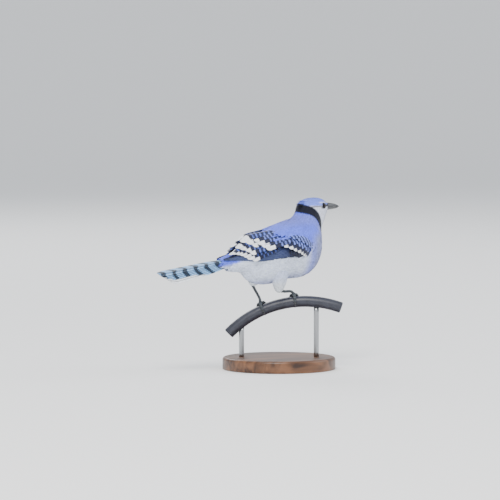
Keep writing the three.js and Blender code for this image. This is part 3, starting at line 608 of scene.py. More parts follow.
def bump_up(tree, shader, height, strength, distance, invert=False):
    """Raises a surface by a pattern's height."""
    bump = add_node(tree, "Bump", {"Height": height, "Strength": strength, "Distance": distance},
                    invert=invert)
    tree.links.new(bump.outputs["Normal"], shader.inputs["Normal"])


def plumage_material(name, roughness=0.66, sheen=0.16):
    """Feather: the corner colour, mottled by fine noise, with a soft sheen and a faint bump along
    fine barbs that slant off the shaft."""
    material, tree, shader = new_material(name, roughness, 0.25)
    shader.inputs["Sheen Weight"].default_value = sheen
    shader.inputs["Sheen Roughness"].default_value = 0.45
    colour = add_node(tree, "Attribute", {}, attribute_name=PLUMAGE)
    vane = add_node(tree, "UVMap", {}, uv_map="Vane")
    split = add_node(tree, "SeparateXYZ", {0: vane.outputs["UV"]})
    centred = add_node(tree, "Math", {0: split.outputs["X"], 1: 0.5}, operation="SUBTRACT")
    from_shaft = add_node(tree, "Math", {0: centred.outputs[0]}, operation="ABSOLUTE")
    slant = add_node(tree, "Math", {0: from_shaft.outputs[0], 1: -0.9, 2: split.outputs["Y"]},
                     operation="MULTIPLY_ADD")
    finer = add_node(tree, "Math", {0: slant.outputs[0], 1: 95}, operation="MULTIPLY")
    barbs = add_node(tree, "Math", {0: finer.outputs[0]}, operation="SINE")
    shade = add_node(tree, "MapRange", {"Value": speckle(tree, 420, Detail=3), "From Min": 0.3,
                                        "From Max": 0.7, "To Min": 0.86, "To Max": 1.1})
    tint = add_node(tree, "Mix", {"Factor": 1, "A": colour.outputs["Color"], "B": shade.outputs[0]},
                    data_type="RGBA", blend_type="MULTIPLY")
    tree.links.new(tint.outputs["Result"], shader.inputs["Base Color"])
    bump_up(tree, shader, barbs.outputs[0], 0.25, 0.0002)
    return material


def painted(piece, colours, material):
    """Stores a colour for each corner of a piece, or one for all, and gives it its material."""
    store_colours(piece.data, np.broadcast_to(colours, (len(piece.data.vertices), 3)))
    piece.data.materials.append(material)


def corner_places(piece):
    """The corners of a piece in millimetres from the grip."""
    places = np.empty(len(piece.data.vertices) * 3)
    piece.data.vertices.foreach_get("co", places)
    return (places.reshape(-1, 3) - GRIP) * 1000


plumage = plumage_material("small_feathers")
COAT = MASSES + SHOULDERS
coat_table = body_surface(240, 20, 160, 0, COAT)
skin_points = corner_places(skin)
# Painted shade: the skin takes the coat's colours dimmed to 0.8, for where it shows in the gaps
# between the feathers.
painted(skin, plumage_colour(skin_points, slope(skin_points, MASSES)) * 0.8, plumage)
skin.data.uv_layers.new(name="Vane")
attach(skin, "root")
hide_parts("torso", "neck", "head")


SPACING_PLACES = [0, 0.28, 0.48, 0.57, 0.66, 0.78, 0.92, 1.0]
ROOT_SPACINGS = [1.9, 1.9, 1.65, 1.35, 1.05, 0.82, 0.7, 0.62]


def feather_spacing(share):
    """Distance between neighbouring roots along the body: wide on the trunk, fine on the head."""
    return np.interp(share, SPACING_PLACES, ROOT_SPACINGS)


places, size = spread_roots(coat_table, feather_spacing)
roots = on_table(coat_table, places)
shown = ~under_wing(roots)
places, size, roots = places[shown], size[shown], roots[shown]
ahead = on_table(coat_table, np.stack([np.minimum(places[:, 0] + 0.01, 1), places[:, 1]], -1))
behind = on_table(coat_table, np.stack([np.maximum(places[:, 0] - 0.01, 0), places[:, 1]], -1))
backward = unit(behind - ahead)
backward += rng.normal(0, 0.07, backward.shape)
length = size * rng.uniform(3.6, 5.2, len(size))
width = size * rng.uniform(0.46, 0.66, len(size))
scale = np.clip(size / 1.9, 0.35, 1)
lift = rng.uniform(-0.25, 0.3, len(size)) * scale
corners = blades(roots, backward, length, width, COAT, -0.9 * scale, lift, 0.1)
clear = ~over_eye(corners)
corners, places, size = corners[clear], places[clear], size[clear]
out = slope(corners[:, :, 1], COAT)
colour = plumage_colour(corners, np.repeat(out[:, :, None], 3, 2))
colour *= rng.uniform(0.9, 1.1, (len(size), 1, 1, 1))
# Painted shade: each blade is darker toward its root, where the blades ahead lie over it, and a little
# lighter than its own colour at its tip.
colour *= (0.78 + 0.27 * ease(BLADE_STATIONS, 0.1, 0.8))[None, :, None, None]

COAT_PARTS = {
    "coat_rump_and_vent": (0, 0.17), "coat_back_and_belly": (0.17, 0.33),
    "coat_shoulders": (0.33, 0.46), "coat_breast": (0.46, 0.58), "coat_neck": (0.58, 0.72),
    "coat_head": (0.72, 0.87), "coat_face": (0.87, 1.01),
}
for name, (low, high) in COAT_PARTS.items():
    chosen = (places[:, 0] >= low) & (places[:, 0] < high)
    piece = coat_object(name, corners[chosen], places[chosen], colour[chosen], plumage)
    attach(piece, "root")


# Flight feathers and large coverts, of the wings and the tail. Each is one thin closed vane with a
# round shaft along it, its end rounded and its edges a little ragged. Bars and tips lie across it.
WING_BLUE = tone(92, 118, 214)
COVERT_BLUE = tone(122, 144, 238)
PRIMARY_BLUE = tone(44, 54, 96)
PRIMARY_EDGE = tone(128, 148, 200)
TAIL_BLUE = tone(146, 196, 246)
VANE_WHITE = tone(246, 249, 253)
VANE_BLACK = tone(12, 15, 32)
VANE_DUSK = tone(70, 76, 100)
VANE_THICKNESS = 0.26
VANE_COLUMNS = np.linspace(-1, 1, 11)
ROUND_END = 0.86


def vane_width(station, pointed=0.0):
    """Half-width share along a feather: it swells from the quill, keeps its width, then closes in
    a quarter of an ellipse past ROUND_END. Pointed ones narrow all the way along their last half."""
    swell = 0.35 + 0.65 * ease(station, 0.0, 0.35)
    closing = np.maximum(station - ROUND_END, 0) / (1 - ROUND_END)
    end = np.sqrt(np.clip(1 - closing ** 2, 0.004, 1))
    return swell * end * (1 - pointed * ease(station, 0.45, 1.0))


def barred_vane(x, from_tip, ground, white, black, period, bar, dusk):
    """Colours over a vane: x is -1 on its inner edge and 1 on its outer, from_tip in millimetres.
    A white tip, a black bar next to it, then a ground crossed by black bars each period."""
    reach = from_tip + 0.9 * np.abs(x) + 0.25 * np.sin(9 * x + from_tip)
    colour = mix(ground, VANE_DUSK, dusk * ease(-x, 0.15, 0.5))
    marked = white + black
    phase = np.mod(reach - marked, period)
    bars = ease(phase, period - bar - 0.3, period - bar + 0.3) * ease(reach, marked, marked + 0.5)
    colour = mix(colour, VANE_BLACK, bars * (0.92 if bar > 0 else 0))
    if black > 0:
        colour = mix(colour, VANE_BLACK, 0.96 * (1 - ease(reach, marked - 0.3, marked + 0.3)))
    if white > 0:
        colour = mix(colour, VANE_WHITE, 1 - ease(reach, white - 0.35, white + 0.35))
    shaft = np.exp(-(x / 0.07) ** 2) * ease(from_tip, white - 1, white + 3)
    return colour * (1 - 0.45 * shaft)[..., None]


def vane_object(name, feathers, material, mirror=False):
    """One object from feathers, each given by its centre line, way across, way out, half widths
    on both sides in millimetres, colours of its upper face and camber. Its OFBake map gives each
    feather a strip of its own, upper face beside lower face."""
    columns, x = len(VANE_COLUMNS), VANE_COLUMNS
    wide_count = math.ceil(math.sqrt(len(feathers) / 2))
    high_count = math.ceil(len(feathers) / wide_count)
    round_vane = np.concatenate([x, x[::-1], x[:1]]) / 2 + 0.5
    halves = [np.linspace(0, 0.46, columns), np.linspace(0.5, 0.96, columns), [0.99]]
    round_strip = np.concatenate(halves) / wide_count
    k = np.arange(columns - 1)
    cap = np.stack([k, k + 1, 2 * columns - 2 - k, 2 * columns - 1 - k], -1)
    cap_places = np.stack([k, k + 1, k + 1, k], -1)
    corners, faces, shades, vanes, bakes = [], [], [], [], []
    first = 0
    for number, feather in enumerate(feathers):
        stations = len(feather["centre"])
        wide = feather["half"][:, None] * x
        camber = np.where(x < 0, feather.get("inner_camber", feather["camber"]), feather["camber"])
        rise = (-camber * wide ** 2 + 0.22 * np.exp(-(wide / 0.45) ** 2))[..., None]
        middle = feather["centre"][:, None] + feather["across"][:, None] * wide[..., None]
        out = feather["out"][:, None]
        thick = VANE_THICKNESS * np.linspace(1.2, 0.8, stations)[:, None, None] / 2
        upper, lower = middle + out * (rise + thick), middle + out * (rise - thick)
        corners.append(np.concatenate([upper, lower[:, ::-1]], 1).reshape(-1, 3))
        # Painted shade: the lower face takes the upper face's colours at less than half their
        # brightness, dulled toward VANE_DUSK.
        under = feather["colour"][:, ::-1] * 0.45 + VANE_DUSK * 0.35
        shades.append(np.concatenate([feather["colour"], under], 1).reshape(-1, 3))
        last = stations - 1
        faces += [first + grid_faces(stations, 2 * columns, True), first + cap[:, ::-1],
                  first + last * 2 * columns + cap]
        row, column = crossings(np.arange(last), np.arange(2 * columns))
        levels = np.stack([row, row, row + 1, row + 1], -1).reshape(-1, 4)
        levels = np.vstack([levels, np.zeros_like(cap), np.full_like(cap, last)])
        spots = np.stack([column, column + 1, column + 1, column], -1).reshape(-1, 4)
        spots = np.vstack([spots, cap_places[:, ::-1], cap_places])
        left, top = (number % wide_count) / wide_count, (number // wide_count) / high_count
        down = top + 0.96 * np.linspace(0, 1, stations) / high_count
        vanes.append(np.stack([round_vane[spots], feather["from_tip"][levels] / 10], -1))
        bakes.append(np.stack([left + round_strip[spots], down[levels]], -1))
        first += stations * 2 * columns
    corners, faces = np.vstack(corners), np.vstack(faces)
    if mirror:
        corners = corners * np.array([1, -1, 1])
    made = new_object(name, to_world(corners), faces)
    for title, values in (("Vane", vanes), ("OFBake", bakes)):
        layer = made.data.uv_layers.new(name=title)
        layer.data.foreach_set("uv", np.vstack(values).ravel())
    painted(made, np.vstack(shades), material)
    if turned_in(corners, faces):
        made.data.flip_normals()
    return made


vane_material = plumage_material("large_feathers", 0.5, 0.2)
WING_LAYER = 0.42
WING_FRONT_SINK = 2.6
INNERMOST_CAMBER = 0.075
WING_TIERS = [
    dict(name="primaries", count=9,
         roots=((0.22, 0.50), (0.10, 0.97)), tips=((0.90, 0.50), (0.97, 0.72)),
         half=3.6, sink=-5.0, rise=-2.9, pointed=0.45, ground=PRIMARY_BLUE, white=(0, 0), black=0,
         period=99, bar=0, camber=0.012),
    dict(name="secondaries", count=7,
         roots=((0.26, 0.22), (0.24, 0.40)), tips=((0.85, 0.06), (0.60, 0.84)),
         half=4.5, sink=-4.0, rise=-1.3, pointed=0.0, ground=WING_BLUE, white=(9.5, 14), black=5.5,
         period=4.8, bar=3.5, camber=0.012),
    dict(name="tertials_long", count=4,
         roots=((0.25, 0.12), (0.26, 0.36)), tips=((0.735, 0.06), (0.585, 0.50)),
         half=5.6, sink=-3.4, rise=-0.1, pointed=0.0, ground=WING_BLUE, white=(10.5, 9.5), black=6.0,
         period=4.8, bar=3.4, camber=0.012),
    dict(name="tertials_short", count=3,
         roots=((0.22, 0.06), (0.25, 0.28)), tips=((0.625, 0.02), (0.515, 0.28)),
         half=5.8, sink=-2.6, rise=0.7, pointed=0.0, ground=WING_BLUE, white=(17, 9), black=5.0,
         period=4.8, bar=3.4, camber=0.012),
    dict(name="primary_coverts", count=6,
         roots=((0.08, 0.80), (0.06, 0.97)), tips=((0.27, 0.80), (0.20, 0.98)),
         half=2.7, sink=-3.0, rise=-1.3, pointed=0.2, ground=PRIMARY_BLUE * 0.5, white=(0, 0), black=0,
         period=3.2, bar=1.9, camber=0.02),
    dict(name="greater_coverts", count=8,
         roots=((0.14, 0.34), (0.03, 0.86)), tips=((0.31, 0.44), (0.13, 0.98)),
         half=4.1, sink=-2.6, rise=0.4, pointed=0.0, ground=COVERT_BLUE, white=(6.5, 4.0), black=8.0,
         period=3.8, bar=2.3, camber=0.02),
    dict(name="inner_coverts", count=4,
         roots=((0.20, 0.08), (0.16, 0.36)), tips=((0.475, 0.20), (0.42, 0.50)),
         half=4.6, sink=-2.6, rise=1.0, pointed=0.0, ground=COVERT_BLUE, white=(7.0, 14.0), black=8.0,
         period=4.4, bar=3.0, camber=0.02),
    dict(name="median_coverts", count=9,
         roots=((0.11, 0.18), (-0.02, 0.62)), tips=((0.265, 0.22), (0.065, 0.80)),
         half=3.8, sink=-2.0, rise=1.9, pointed=0.0, ground=COVERT_BLUE, white=(0, 0), black=2.2,
         period=4.2, bar=2.4, camber=0.02),
]


def wing_lie(tier, place, share):
    """Where on the wing's face the feather at a place across its tier lies, a share of its length
    back: straight lines between the tier's ends at its roots and at its tips."""
    root, tip = (np.array(first) + np.subtract(last, first) * place
                 for first, last in (tier["roots"], tier["tips"]))
    spot = root + (tip - root) * np.asarray(share)[..., None]
    return spot[..., 0], spot[..., 1]


def wing_line(tier, place, share):
    """Points on the wing's face along such a line."""
    return wing_face(*wing_lie(tier, place, share))


def wing_feathers(tier):
    """The feathers of one tier, the innermost on top and each tilted over its outer neighbour."""
    feathers = []
    half_step = 0.5 / (tier["count"] - 1)
    for k in range(tier["count"]):
        place = k / (tier["count"] - 1)
        longer = 1 + rng.uniform(-0.02, 0.02)
        steps = np.diff(wing_line(tier, place, np.linspace(0, 1, 20)), axis=0)
        length = np.linalg.norm(steps, axis=-1).sum()
        station = np.linspace(0, 1, max(int(length / 0.9), 16))
        share = station * longer
        along, down = wing_lie(tier, place, share)
        face, out = wing_face(along, down), wing_out(along, down)
        ahead = wing_line(tier, place, share + 0.03) - wing_line(tier, place, share - 0.03)
        across = unit(np.cross(out, ahead))
        gap = wing_line(tier, place + half_step, share) - wing_line(tier, place - half_step, share)
        spacing = np.maximum(np.abs((gap * across).sum(-1)), 0.4)
        tilt_slope = np.minimum(WING_LAYER / spacing, 0.2)
        step = WING_LAYER - spacing * tilt_slope
        height = tier["sink"] + (tier["rise"] - k * step - tier["sink"]) * ease(share, 0, 0.25)
        height = height - WING_FRONT_SINK * (1 - ease(along, -0.02, 0.13))
        tilt = np.arctan(tilt_slope)[:, None]
        ragged = 1 + 0.03 * np.sin(station * rng.uniform(40, 60) + rng.uniform(0, 6))
        half = tier["half"] * vane_width(station, tier["pointed"]) * ragged
        from_tip = (1 - station) * length * longer
        x, distance = np.broadcast_arrays(VANE_COLUMNS, from_tip[:, None])
        feathers.append({
            "centre": face + out * height[:, None],
            "across": across * np.cos(tilt) + out * np.sin(tilt),
            "out": out * np.cos(tilt) - across * np.sin(tilt),
            "half": half, "camber": tier["camber"], "from_tip": from_tip,
            "inner_camber": INNERMOST_CAMBER if k == 0 else tier["camber"],
            "colour": wing_colour(tier, x, distance, place),
        })
    return feathers


def wing_colour(tier, x, from_tip, place):
    """Colours of one wing feather, its bars a little out of step with its neighbours'. The white
    of its tip changes from the innermost feather of its tier to the outermost."""
    shifted = from_tip + rng.uniform(-0.6, 0.6)
    white = tier["white"][0] + (tier["white"][1] - tier["white"][0]) * place ** 0.75
    colour = barred_vane(x, shifted, tier["ground"] * rng.uniform(0.88, 1.12), white, tier["black"],
                         tier["period"], tier["bar"], 0.5 if place > 0 else 0.0)
    if tier["name"] == "secondaries":
        darker = 0.55 * ease(place, 0.3, 0.9)
        colour = mix(colour, VANE_BLACK, darker * ease(shifted, white + 1, white + 4))
    if tier["name"] == "primaries":
        colour = mix(colour, VANE_BLACK, 0.85 * ease(-x, -0.1, 0.3))
        colour = mix(colour, VANE_BLACK, 0.7 * (1 - ease(from_tip, 4, 16)))
        colour = mix(colour, VANE_BLACK, 0.85 * ease(place - 0.25 * x, 0.6, 0.95))
        colour = mix(colour, PRIMARY_EDGE, 0.35 * ease(x, 0.75, 0.9))
    return colour


for tier in WING_TIERS:
    feathers = wing_feathers(tier)
    for side, mirror in (("right", False), ("left", True)):
        piece = vane_object(f"{tier['name']}_{side}", feathers, vane_material, mirror)
        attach(piece, "root")
        if tier["name"] == "secondaries":
            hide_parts(f"wing_{side}")


# The tail: six pairs of quills, the middle pair on top, folded narrow and rolled so that its right
# side lies low. All are barred, and the outer pairs have white ends and white outer edges.
TAIL_LENGTH = 96
TAIL_DROOP = math.radians(7.5)
TAIL_ROLL = math.radians(-14)
TAIL_CAMBER = 0.016
TAIL_ROOT = np.array([-66.0, 0, 52.5])
tail_back = np.array([-math.cos(TAIL_DROOP), 0, -math.sin(TAIL_DROOP)])
side_way = np.array([0, 1, 0])
tail_left = side_way * math.cos(TAIL_ROLL) + np.cross(tail_back, side_way) * math.sin(TAIL_ROLL)
tail_up = np.cross(tail_left, tail_back)
TAIL_WHITE_TIPS = [0, 0, 5, 9, 14, 20]


def in_tail(back, left, up):
    """Points from distances back along the tail, to the bird's left and up from its root."""
    return from_axes(TAIL_ROOT, (tail_back, tail_left, tail_up), back, left, up)


def tail_feathers():
    """The twelve quills, each a layer under the pair inside it."""
    feathers = []
    station = np.linspace(0, 1, 110)
    x = VANE_COLUMNS
    for pair in range(6):
        for side in (1, -1):
            reach = TAIL_LENGTH - 1.2 * pair ** 1.25
            back = 4 + (reach - 4) * station
            left = side * (0.8 + 0.9 * pair + (1.6 + 0.95 * pair + 0.9 * (pair == 5)) * station)
            layer = 0.55 * (2 * pair + (1 if side < 0 else 0)) * 0.8
            up = 2.3 - layer - TAIL_CAMBER * left ** 2 - 1.2 * station
            across = unit(tail_left - 2 * TAIL_CAMBER * left[:, None] * tail_up)
            half = 5.6 * vane_width(station) * (1 + 0.02 * np.sin(station * 70 + pair))
            from_tip = (1 - station) * (reach - 4)
            grid_tip = from_tip[:, None] + 0 * x
            white = TAIL_WHITE_TIPS[pair]
            ground = TAIL_BLUE * rng.uniform(0.94, 1.05)
            lateral = np.abs(left[:, None] + side * half[:, None] * x)
            phase = np.mod(grid_tip + 0.62 * lateral + 0.6 * np.sin(grid_tip * 0.7 + pair), 14.2)
            colour = mix(ground, VANE_DUSK, 0.45 * ease(-x, 0.2, 0.6))
            bars = ease(phase, 3.8, 4.6) * (1 - ease(phase, 9.6, 10.4))
            fine = ease(np.mod(grid_tip + 0.5 * lateral, 3.5), 2.6, 3.2) * 0.35
            fine = fine * ease(x, -0.2, 0.2)
            colour = mix(colour, VANE_BLACK, np.maximum(bars * 0.93, fine))
            if pair >= 4:
                limit = -0.25 if pair == 5 else 0.5
                back_share = 1 - ease(grid_tip, 40 - 6 * (5 - pair), 50 - 10 * (5 - pair))
                colour = mix(colour, VANE_WHITE, ease(x, limit, limit + 0.12) * back_share)
            if white:
                edge = white - 2.5 * np.abs(x) ** 2
                colour = mix(colour, VANE_WHITE, 1 - ease(grid_tip, edge - 0.5, edge + 0.5))
            colour = colour * (1 - 0.4 * np.exp(-(x / 0.06) ** 2))[..., None]
            feathers.append({
                "centre": in_tail(back, left, up), "across": across * side,
                "out": unit(np.cross(across, tail_back)), "half": half,
                "camber": 0.004, "from_tip": from_tip, "colour": colour,
            })
    return feathers


tail = vane_object("tail_quills", tail_feathers(), vane_material)
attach(tail, "root")
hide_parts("tail")


# The eyes: wet dark brown globes, nearly black, each with a round pupil, set in a rim of bare dark
# lids that is longer than it is high. They look out to either side and a little forward.
IRIS_BROWN = tone(30, 17, 11)
LID_HALF_THICKNESS = 0.3
LID_STEPS = 64
LID_SIDES = 12


def glossy_material(name, roughness, coat):
    """Corner colours under a smooth, wet or polished surface."""
    material, tree, shader = new_material(name, roughness, 0.15)
    shader.inputs["Coat Weight"].default_value = coat
    shader.inputs["Coat Roughness"].default_value = 0.04
    colour = add_node(tree, "Attribute", {}, attribute_name=PLUMAGE)
    tree.links.new(colour.outputs["Color"], shader.inputs["Base Color"])
    return material


eye_material = glossy_material("wet_eye", 0.2, 0.35)
lid_material = glossy_material("lid_skin", 0.55, 0.0)
for side, label in ((1, "right"), (-1, "left")):
    centre = from_head(EYE_FORWARD, side * EYE_OUT, EYE_UP)
    axis = unit(head_right * side + 0.28 * head_forward)
    level_way = unit(np.cross(UPWARD, axis))
    polar = np.linspace(0.02, math.pi - 0.02, 40)[:, None, None]
    around = round_angles(48)[:, None]
    globe = centre + EYE_RADIUS * (axis * np.cos(polar) + np.sin(polar) * (
        level_way * np.cos(around) + UPWARD * np.sin(around)))
    eye = new_tube(f"eye_globe_{label}", globe)
    off_axis = np.arccos(np.clip(unit(corner_places(eye) - centre) @ axis, -1, 1))
    iris = mix(VANE_BLACK * 0.15, IRIS_BROWN, ease(off_axis, 0.40, 0.44))
    painted(eye, mix(iris, VANE_BLACK * 0.3, ease(off_axis, 0.66, 0.82)), eye_material)
    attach(eye, "root")
    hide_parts(f"eye_{label}")
    turn = round_angles(LID_STEPS)[:, None]
    rim = EYE_RADIUS * (axis * 0.66 + 0.76 * (level_way * 1.08 * np.cos(turn)
                                             + UPWARD * 0.92 * np.sin(turn)))
    outward = unit(rim - axis * (rim @ axis)[:, None])[:, None]
    roll = round_angles(LID_SIDES)[:, None]
    edge = LID_HALF_THICKNESS * (outward * np.cos(roll) + axis * np.sin(roll))
    ring = ((centre + rim)[:, None] + edge).reshape(-1, 3)
    lid_faces = grid_faces(LID_STEPS + 1, LID_SIDES, True) % len(ring)
    lid = new_object(f"lid_{label}", to_world(ring), lid_faces)
    if side > 0:
        lid.data.flip_normals()
    painted(lid, VANE_BLACK * 0.8, lid_material)
    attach(lid, "root")


# The bill: two horny black sheaths that meet along a mouth line, the upper with a rounded ridge
# that curves down to its tip, the lower a shallow trough a little shorter than it.
BILL_BASE = 20.5
BILL_LENGTH = 28
JAW_LENGTH = BILL_LENGTH - 2
BILL_HALF_WIDTH = 4.1
CULMEN_HEIGHT = 4.7
JAW_DEPTH = 3.9
BILL_DROP = -1.3
BILL_HOOK = 1.3
BILL_OVERLAP_BACK = 4.0


def two_tone(tree, shader, share, first, second):
    """Colours a surface between two colours by a pattern's value."""
    tint = add_node(tree, "Mix", {"Factor": share, "A": first, "B": second}, data_type="RGBA")
    tree.links.new(tint.outputs["Result"], shader.inputs["Base Color"])


horn, tree, shader = new_material("black_horn", 0.32)
shader.inputs["Coat Weight"].default_value = 0.35
shader.inputs["Coat Roughness"].default_value = 0.18
grain = speckle(tree, 900, Detail=4)
two_tone(tree, shader, grain, srgb(22, 24, 28), srgb(44, 46, 50))
bump_up(tree, shader, grain, 0.12, 0.0001)


def bill_sheath(way, length, height):
    """Rings of one sheath: width and height taper as sqrt(1 - s^1.7), the mouth line drops as the
    fourth power of the distance, and the outer side is drawn up to a soft ridge."""
    station = np.concatenate([np.linspace(-BILL_OVERLAP_BACK / length, 0.9, 44),
                              1 - 0.1 * np.linspace(0.9, 0, 14) ** 1.6])
    s = np.clip(station, 0, 1)[:, None]
    angle = round_angles(40)
    taper = np.sqrt(np.clip(1 - s ** 1.7, 0, 1)) * 0.94 + 0.06 - 0.03 * ease(s, 0.9, 1)
    hook = -BILL_HOOK * (length * s / BILL_LENGTH) ** 4
    right = BILL_HALF_WIDTH * taper * (1 - 0.35 * s) * np.cos(angle) * (1 - 0.1 * np.sin(angle) ** 4)
    swell = np.sin(angle)
    high = np.where(swell > 0, np.abs(swell) ** 0.92 * height * taper, swell * 0.12)
    up = BILL_DROP + hook + way * (high + 0.15)
    return from_head(BILL_BASE + length * station[:, None], right, up)


for name, way, length, height in (("bill_upper", 1, BILL_LENGTH, CULMEN_HEIGHT),
                                  ("bill_lower", -1, JAW_LENGTH, JAW_DEPTH)):
    sheath = new_tube(f"{name}_sheath", bill_sheath(way, length, height))
    sheath.data.materials.append(horn)
    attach(sheath, "root")
    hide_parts(name)


def nearest_place(points):
    """Places (along, round) on the body's unwrap nearest to points, for the OFBake map."""
    table = coat_table[::4, ::4].reshape(-1, 3)
    rows, columns = coat_table[::4, ::4].shape[:2]
    found = np.concatenate([np.linalg.norm(points[k:k + 500, None] - table[None], axis=-1).argmin(1)
                            for k in range(0, len(points), 500)])
    return np.stack([(found // columns) / (rows - 1), (found % columns) / columns], -1)


def staggered(rows, columns):
    """Row number and place in its row of each root, every second row half a place on."""
    row, column = crossings(np.arange(rows), np.arange(columns))
    return row.ravel(), (column + 0.5 * (row % 2)).ravel()


def per_blade(values):
    """One value for each feather, for all its corners."""
    return values[:, None, None]


def free_blades(centre, across, out, half, shape, ridge=0.12):
    """Corners (feather, station, left-shaft-right) of blades along given lines. Centre, across
    and out have one row for each feather and station, half one value for each feather."""
    wide = (half[:, None] * shape)[..., None, None]
    side = BLADE_COLUMNS[:, None]
    return (centre[:, :, None] + across[:, :, None] * side * wide
            + out[:, :, None] * (1 - np.abs(side)) * ridge * wide)


# The crest: long narrow feathers rooted in rows over the crown and laid back, with the longest
# ending in a low point over the nape. Blue outside, the rearmost black beneath.
CREST_ROWS = 16
CREST_COLUMNS = 12
CREST_SHAPE = np.array([0.6, 1.0, 0.95, 0.7, 0.42, 0.12])
CREST_PLACES = [-10, -7, -1, 6, 12, 15]
crest_rows = np.linspace(CREST_PLACES[-1], CREST_PLACES[0], CREST_ROWS)
crest_rise = np.interp(crest_rows, CREST_PLACES, [4.6, 5.8, 7.7, 7.3, 5.9, 4.7])
crest_spread = np.interp(crest_rows, CREST_PLACES, [6.6, 6.6, 6.4, 5.6, 4.2, 3.4])
crest_reach = np.interp(crest_rows, CREST_PLACES, [15, 17, 20, 17, 12, 9])
crest_lift = np.interp(crest_rows, CREST_PLACES, [-1.0, -0.8, 0.6, 1.1, 1.0, 0.7])
row, step = staggered(CREST_ROWS, CREST_COLUMNS)
many = len(row)
place = 2 * step / (CREST_COLUMNS - 0.5) - 1 + rng.uniform(-0.05, 0.05, many)
s = BLADE_STATIONS
reach = (crest_reach[row] * (1 - 0.12 * np.abs(place)) * rng.uniform(0.88, 1.08, many))[:, None]
right = (place * crest_spread[row])[:, None] * (1 - 0.55 * s)
bend = crest_lift[row][:, None] * np.sin(s * math.pi * 0.6) - 1.2 * s
bend = bend + rng.uniform(-0.14, 0.14, (many, 1)) * s
up = crest_rise[row][:, None] - 0.035 * right ** 2 + bend - 0.5 * (1 - ease(s, 0, 0.3))
line = from_head(crest_rows[row][:, None] - reach * s, right, up)
across = unit(head_right - 0.12 * UPWARD * right[..., None])
out = unit(np.cross(across, head_forward))
crest = free_blades(line, across, out, rng.uniform(0.85, 1.15, many), CREST_SHAPE)
crest_colour = mix(CROWN_BLUE, JET, per_blade(ease(-crest_rows, 6.5, 8.5)[row]))
# Painted shade and light: each crest feather is darker toward its root, under the ones over it, and
# lighter than its own colour toward its tip.
crest_colour = crest_colour * rng.uniform(0.8, 1.15, (many, 1, 1, 1)) * per_blade(0.7 + 0.4 * s)
crest = coat_object("crest", crest, nearest_place(line[:, 0]), crest_colour, plumage)
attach(crest, "root")


# Nasal tufts: stiff little feathers that lie forward over the base of the bill on each side and
# hide the nostrils. The lower ones are black, the upper ones blue like the crown.
TUFTS_A_SIDE = 34
TUFT_SHAPE = np.array([0.8, 1.0, 0.8, 0.5, 0.3, 0.1])
tuft_side = np.repeat([1, -1], TUFTS_A_SIDE)
many = len(tuft_side)
tuft_height = np.tile(np.linspace(-0.6, 4.6, TUFTS_A_SIDE), 2) + rng.uniform(-0.2, 0.2, many)
tuft_reach = rng.uniform(6.0, 9.0, many) * (1 - 0.25 * ease(np.abs(tuft_height - 2), 1, 3))
outward = (4.9 - 0.30 * np.maximum(tuft_height - 1.2, 0) ** 1.6)[:, None]
forward = 16.6 + rng.uniform(-0.6, 0.6, (many, 1)) + tuft_reach[:, None] * s
right = tuft_side[:, None] * (outward - 0.9 * s)
line = from_head(forward, right, tuft_height[:, None] - 0.2 * s)
up_way = np.broadcast_to(UPWARD, line.shape)
out = np.broadcast_to(per_blade(tuft_side) * head_right, line.shape)
tufts = free_blades(line, up_way, out, rng.uniform(0.35, 0.55, many), TUFT_SHAPE)
tuft_colour = mix(JET * 1.6, CROWN_BLUE, per_blade(ease(tuft_height, 2.2, 3.2)))
tuft_colour = tuft_colour * rng.uniform(0.7, 1.2, (many, 1, 1, 1))
tufts = coat_object("nasal_tufts", tufts, nearest_place(line[:, 0]), tuft_colour, plumage)
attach(tufts, "root")


# The tail coverts: long soft feathers all round the root of the tail, rooted in the rump and the
# vent over a tapered stump of flesh. They are blue grey above, white below and longest beneath.
STUMP_BACK = [-14, 0, 9, 19, 32]
STUMP_WIDE = [12.5, 10.4, 9.2, 8.4, 8.0]
STUMP_HIGH = [9.8, 8.2, 5.8, 3.6, 2.2]
STUMP_SINK = [-0.4, -0.8, -1.2, -1.6, -1.8]


def stump_surface(back, angle, swell):
    """Points on an oval tube round the tail's root, at an angle from the tail's left side."""
    wide = np.interp(back, STUMP_BACK, STUMP_WIDE) + swell
    high = np.interp(back, STUMP_BACK, STUMP_HIGH) + swell
    sink = np.interp(back, STUMP_BACK, STUMP_SINK)
    return in_tail(back, wide * np.cos(angle), high * np.sin(angle) + sink)


back, angle = crossings(np.linspace(-8, 21, 24), round_angles(40))
stump = new_tube("tail_stump", stump_surface(back, angle, -1.5))
stump_low = ease(-np.append(np.sin(angle).ravel(), [0, 0]), -0.35, 0.5)
# Painted shade: the stump takes the coverts' colours dimmed to 0.7, for where it shows between them.
painted(stump, 0.7 * mix(LAVENDER, FLANK_WHITE, stump_low), plumage)
stump.data.uv_layers.new(name="Vane")
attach(stump, "root")

COVERT_ROWS = 16
COVERTS_ROUND = 36
row, step = staggered(COVERT_ROWS, COVERTS_ROUND)
many = len(row)
angle = 2 * math.pi * step / COVERTS_ROUND + rng.uniform(-0.05, 0.05, many)
beneath = ease(-np.sin(angle), -0.35, 0.5)
start = -13 + 1.35 * row * (0.9 + 0.2 * beneath)
reach = (9.0 + 5.0 * beneath) * rng.uniform(0.85, 1.1, many)
back = start[:, None] + reach[:, None] * s
sway = angle[:, None]
swell = -1.1 + 1.3 * ease(s, 0, 0.6) + rng.uniform(-0.15, 0.25, (many, 1))
line = stump_surface(back, sway, swell)
across = unit(stump_surface(back, sway + 0.04, swell) - line)
out = unit(stump_surface(back, sway, swell + 1) - line)
blade = free_blades(line, across, out, rng.uniform(0.8, 1.15, many), BLADE_SHAPE)
ground = mix(LAVENDER * 0.92, FLANK_WHITE, per_blade(beneath))
ground = ground * rng.uniform(0.9, 1.08, (many, 1, 1, 1))
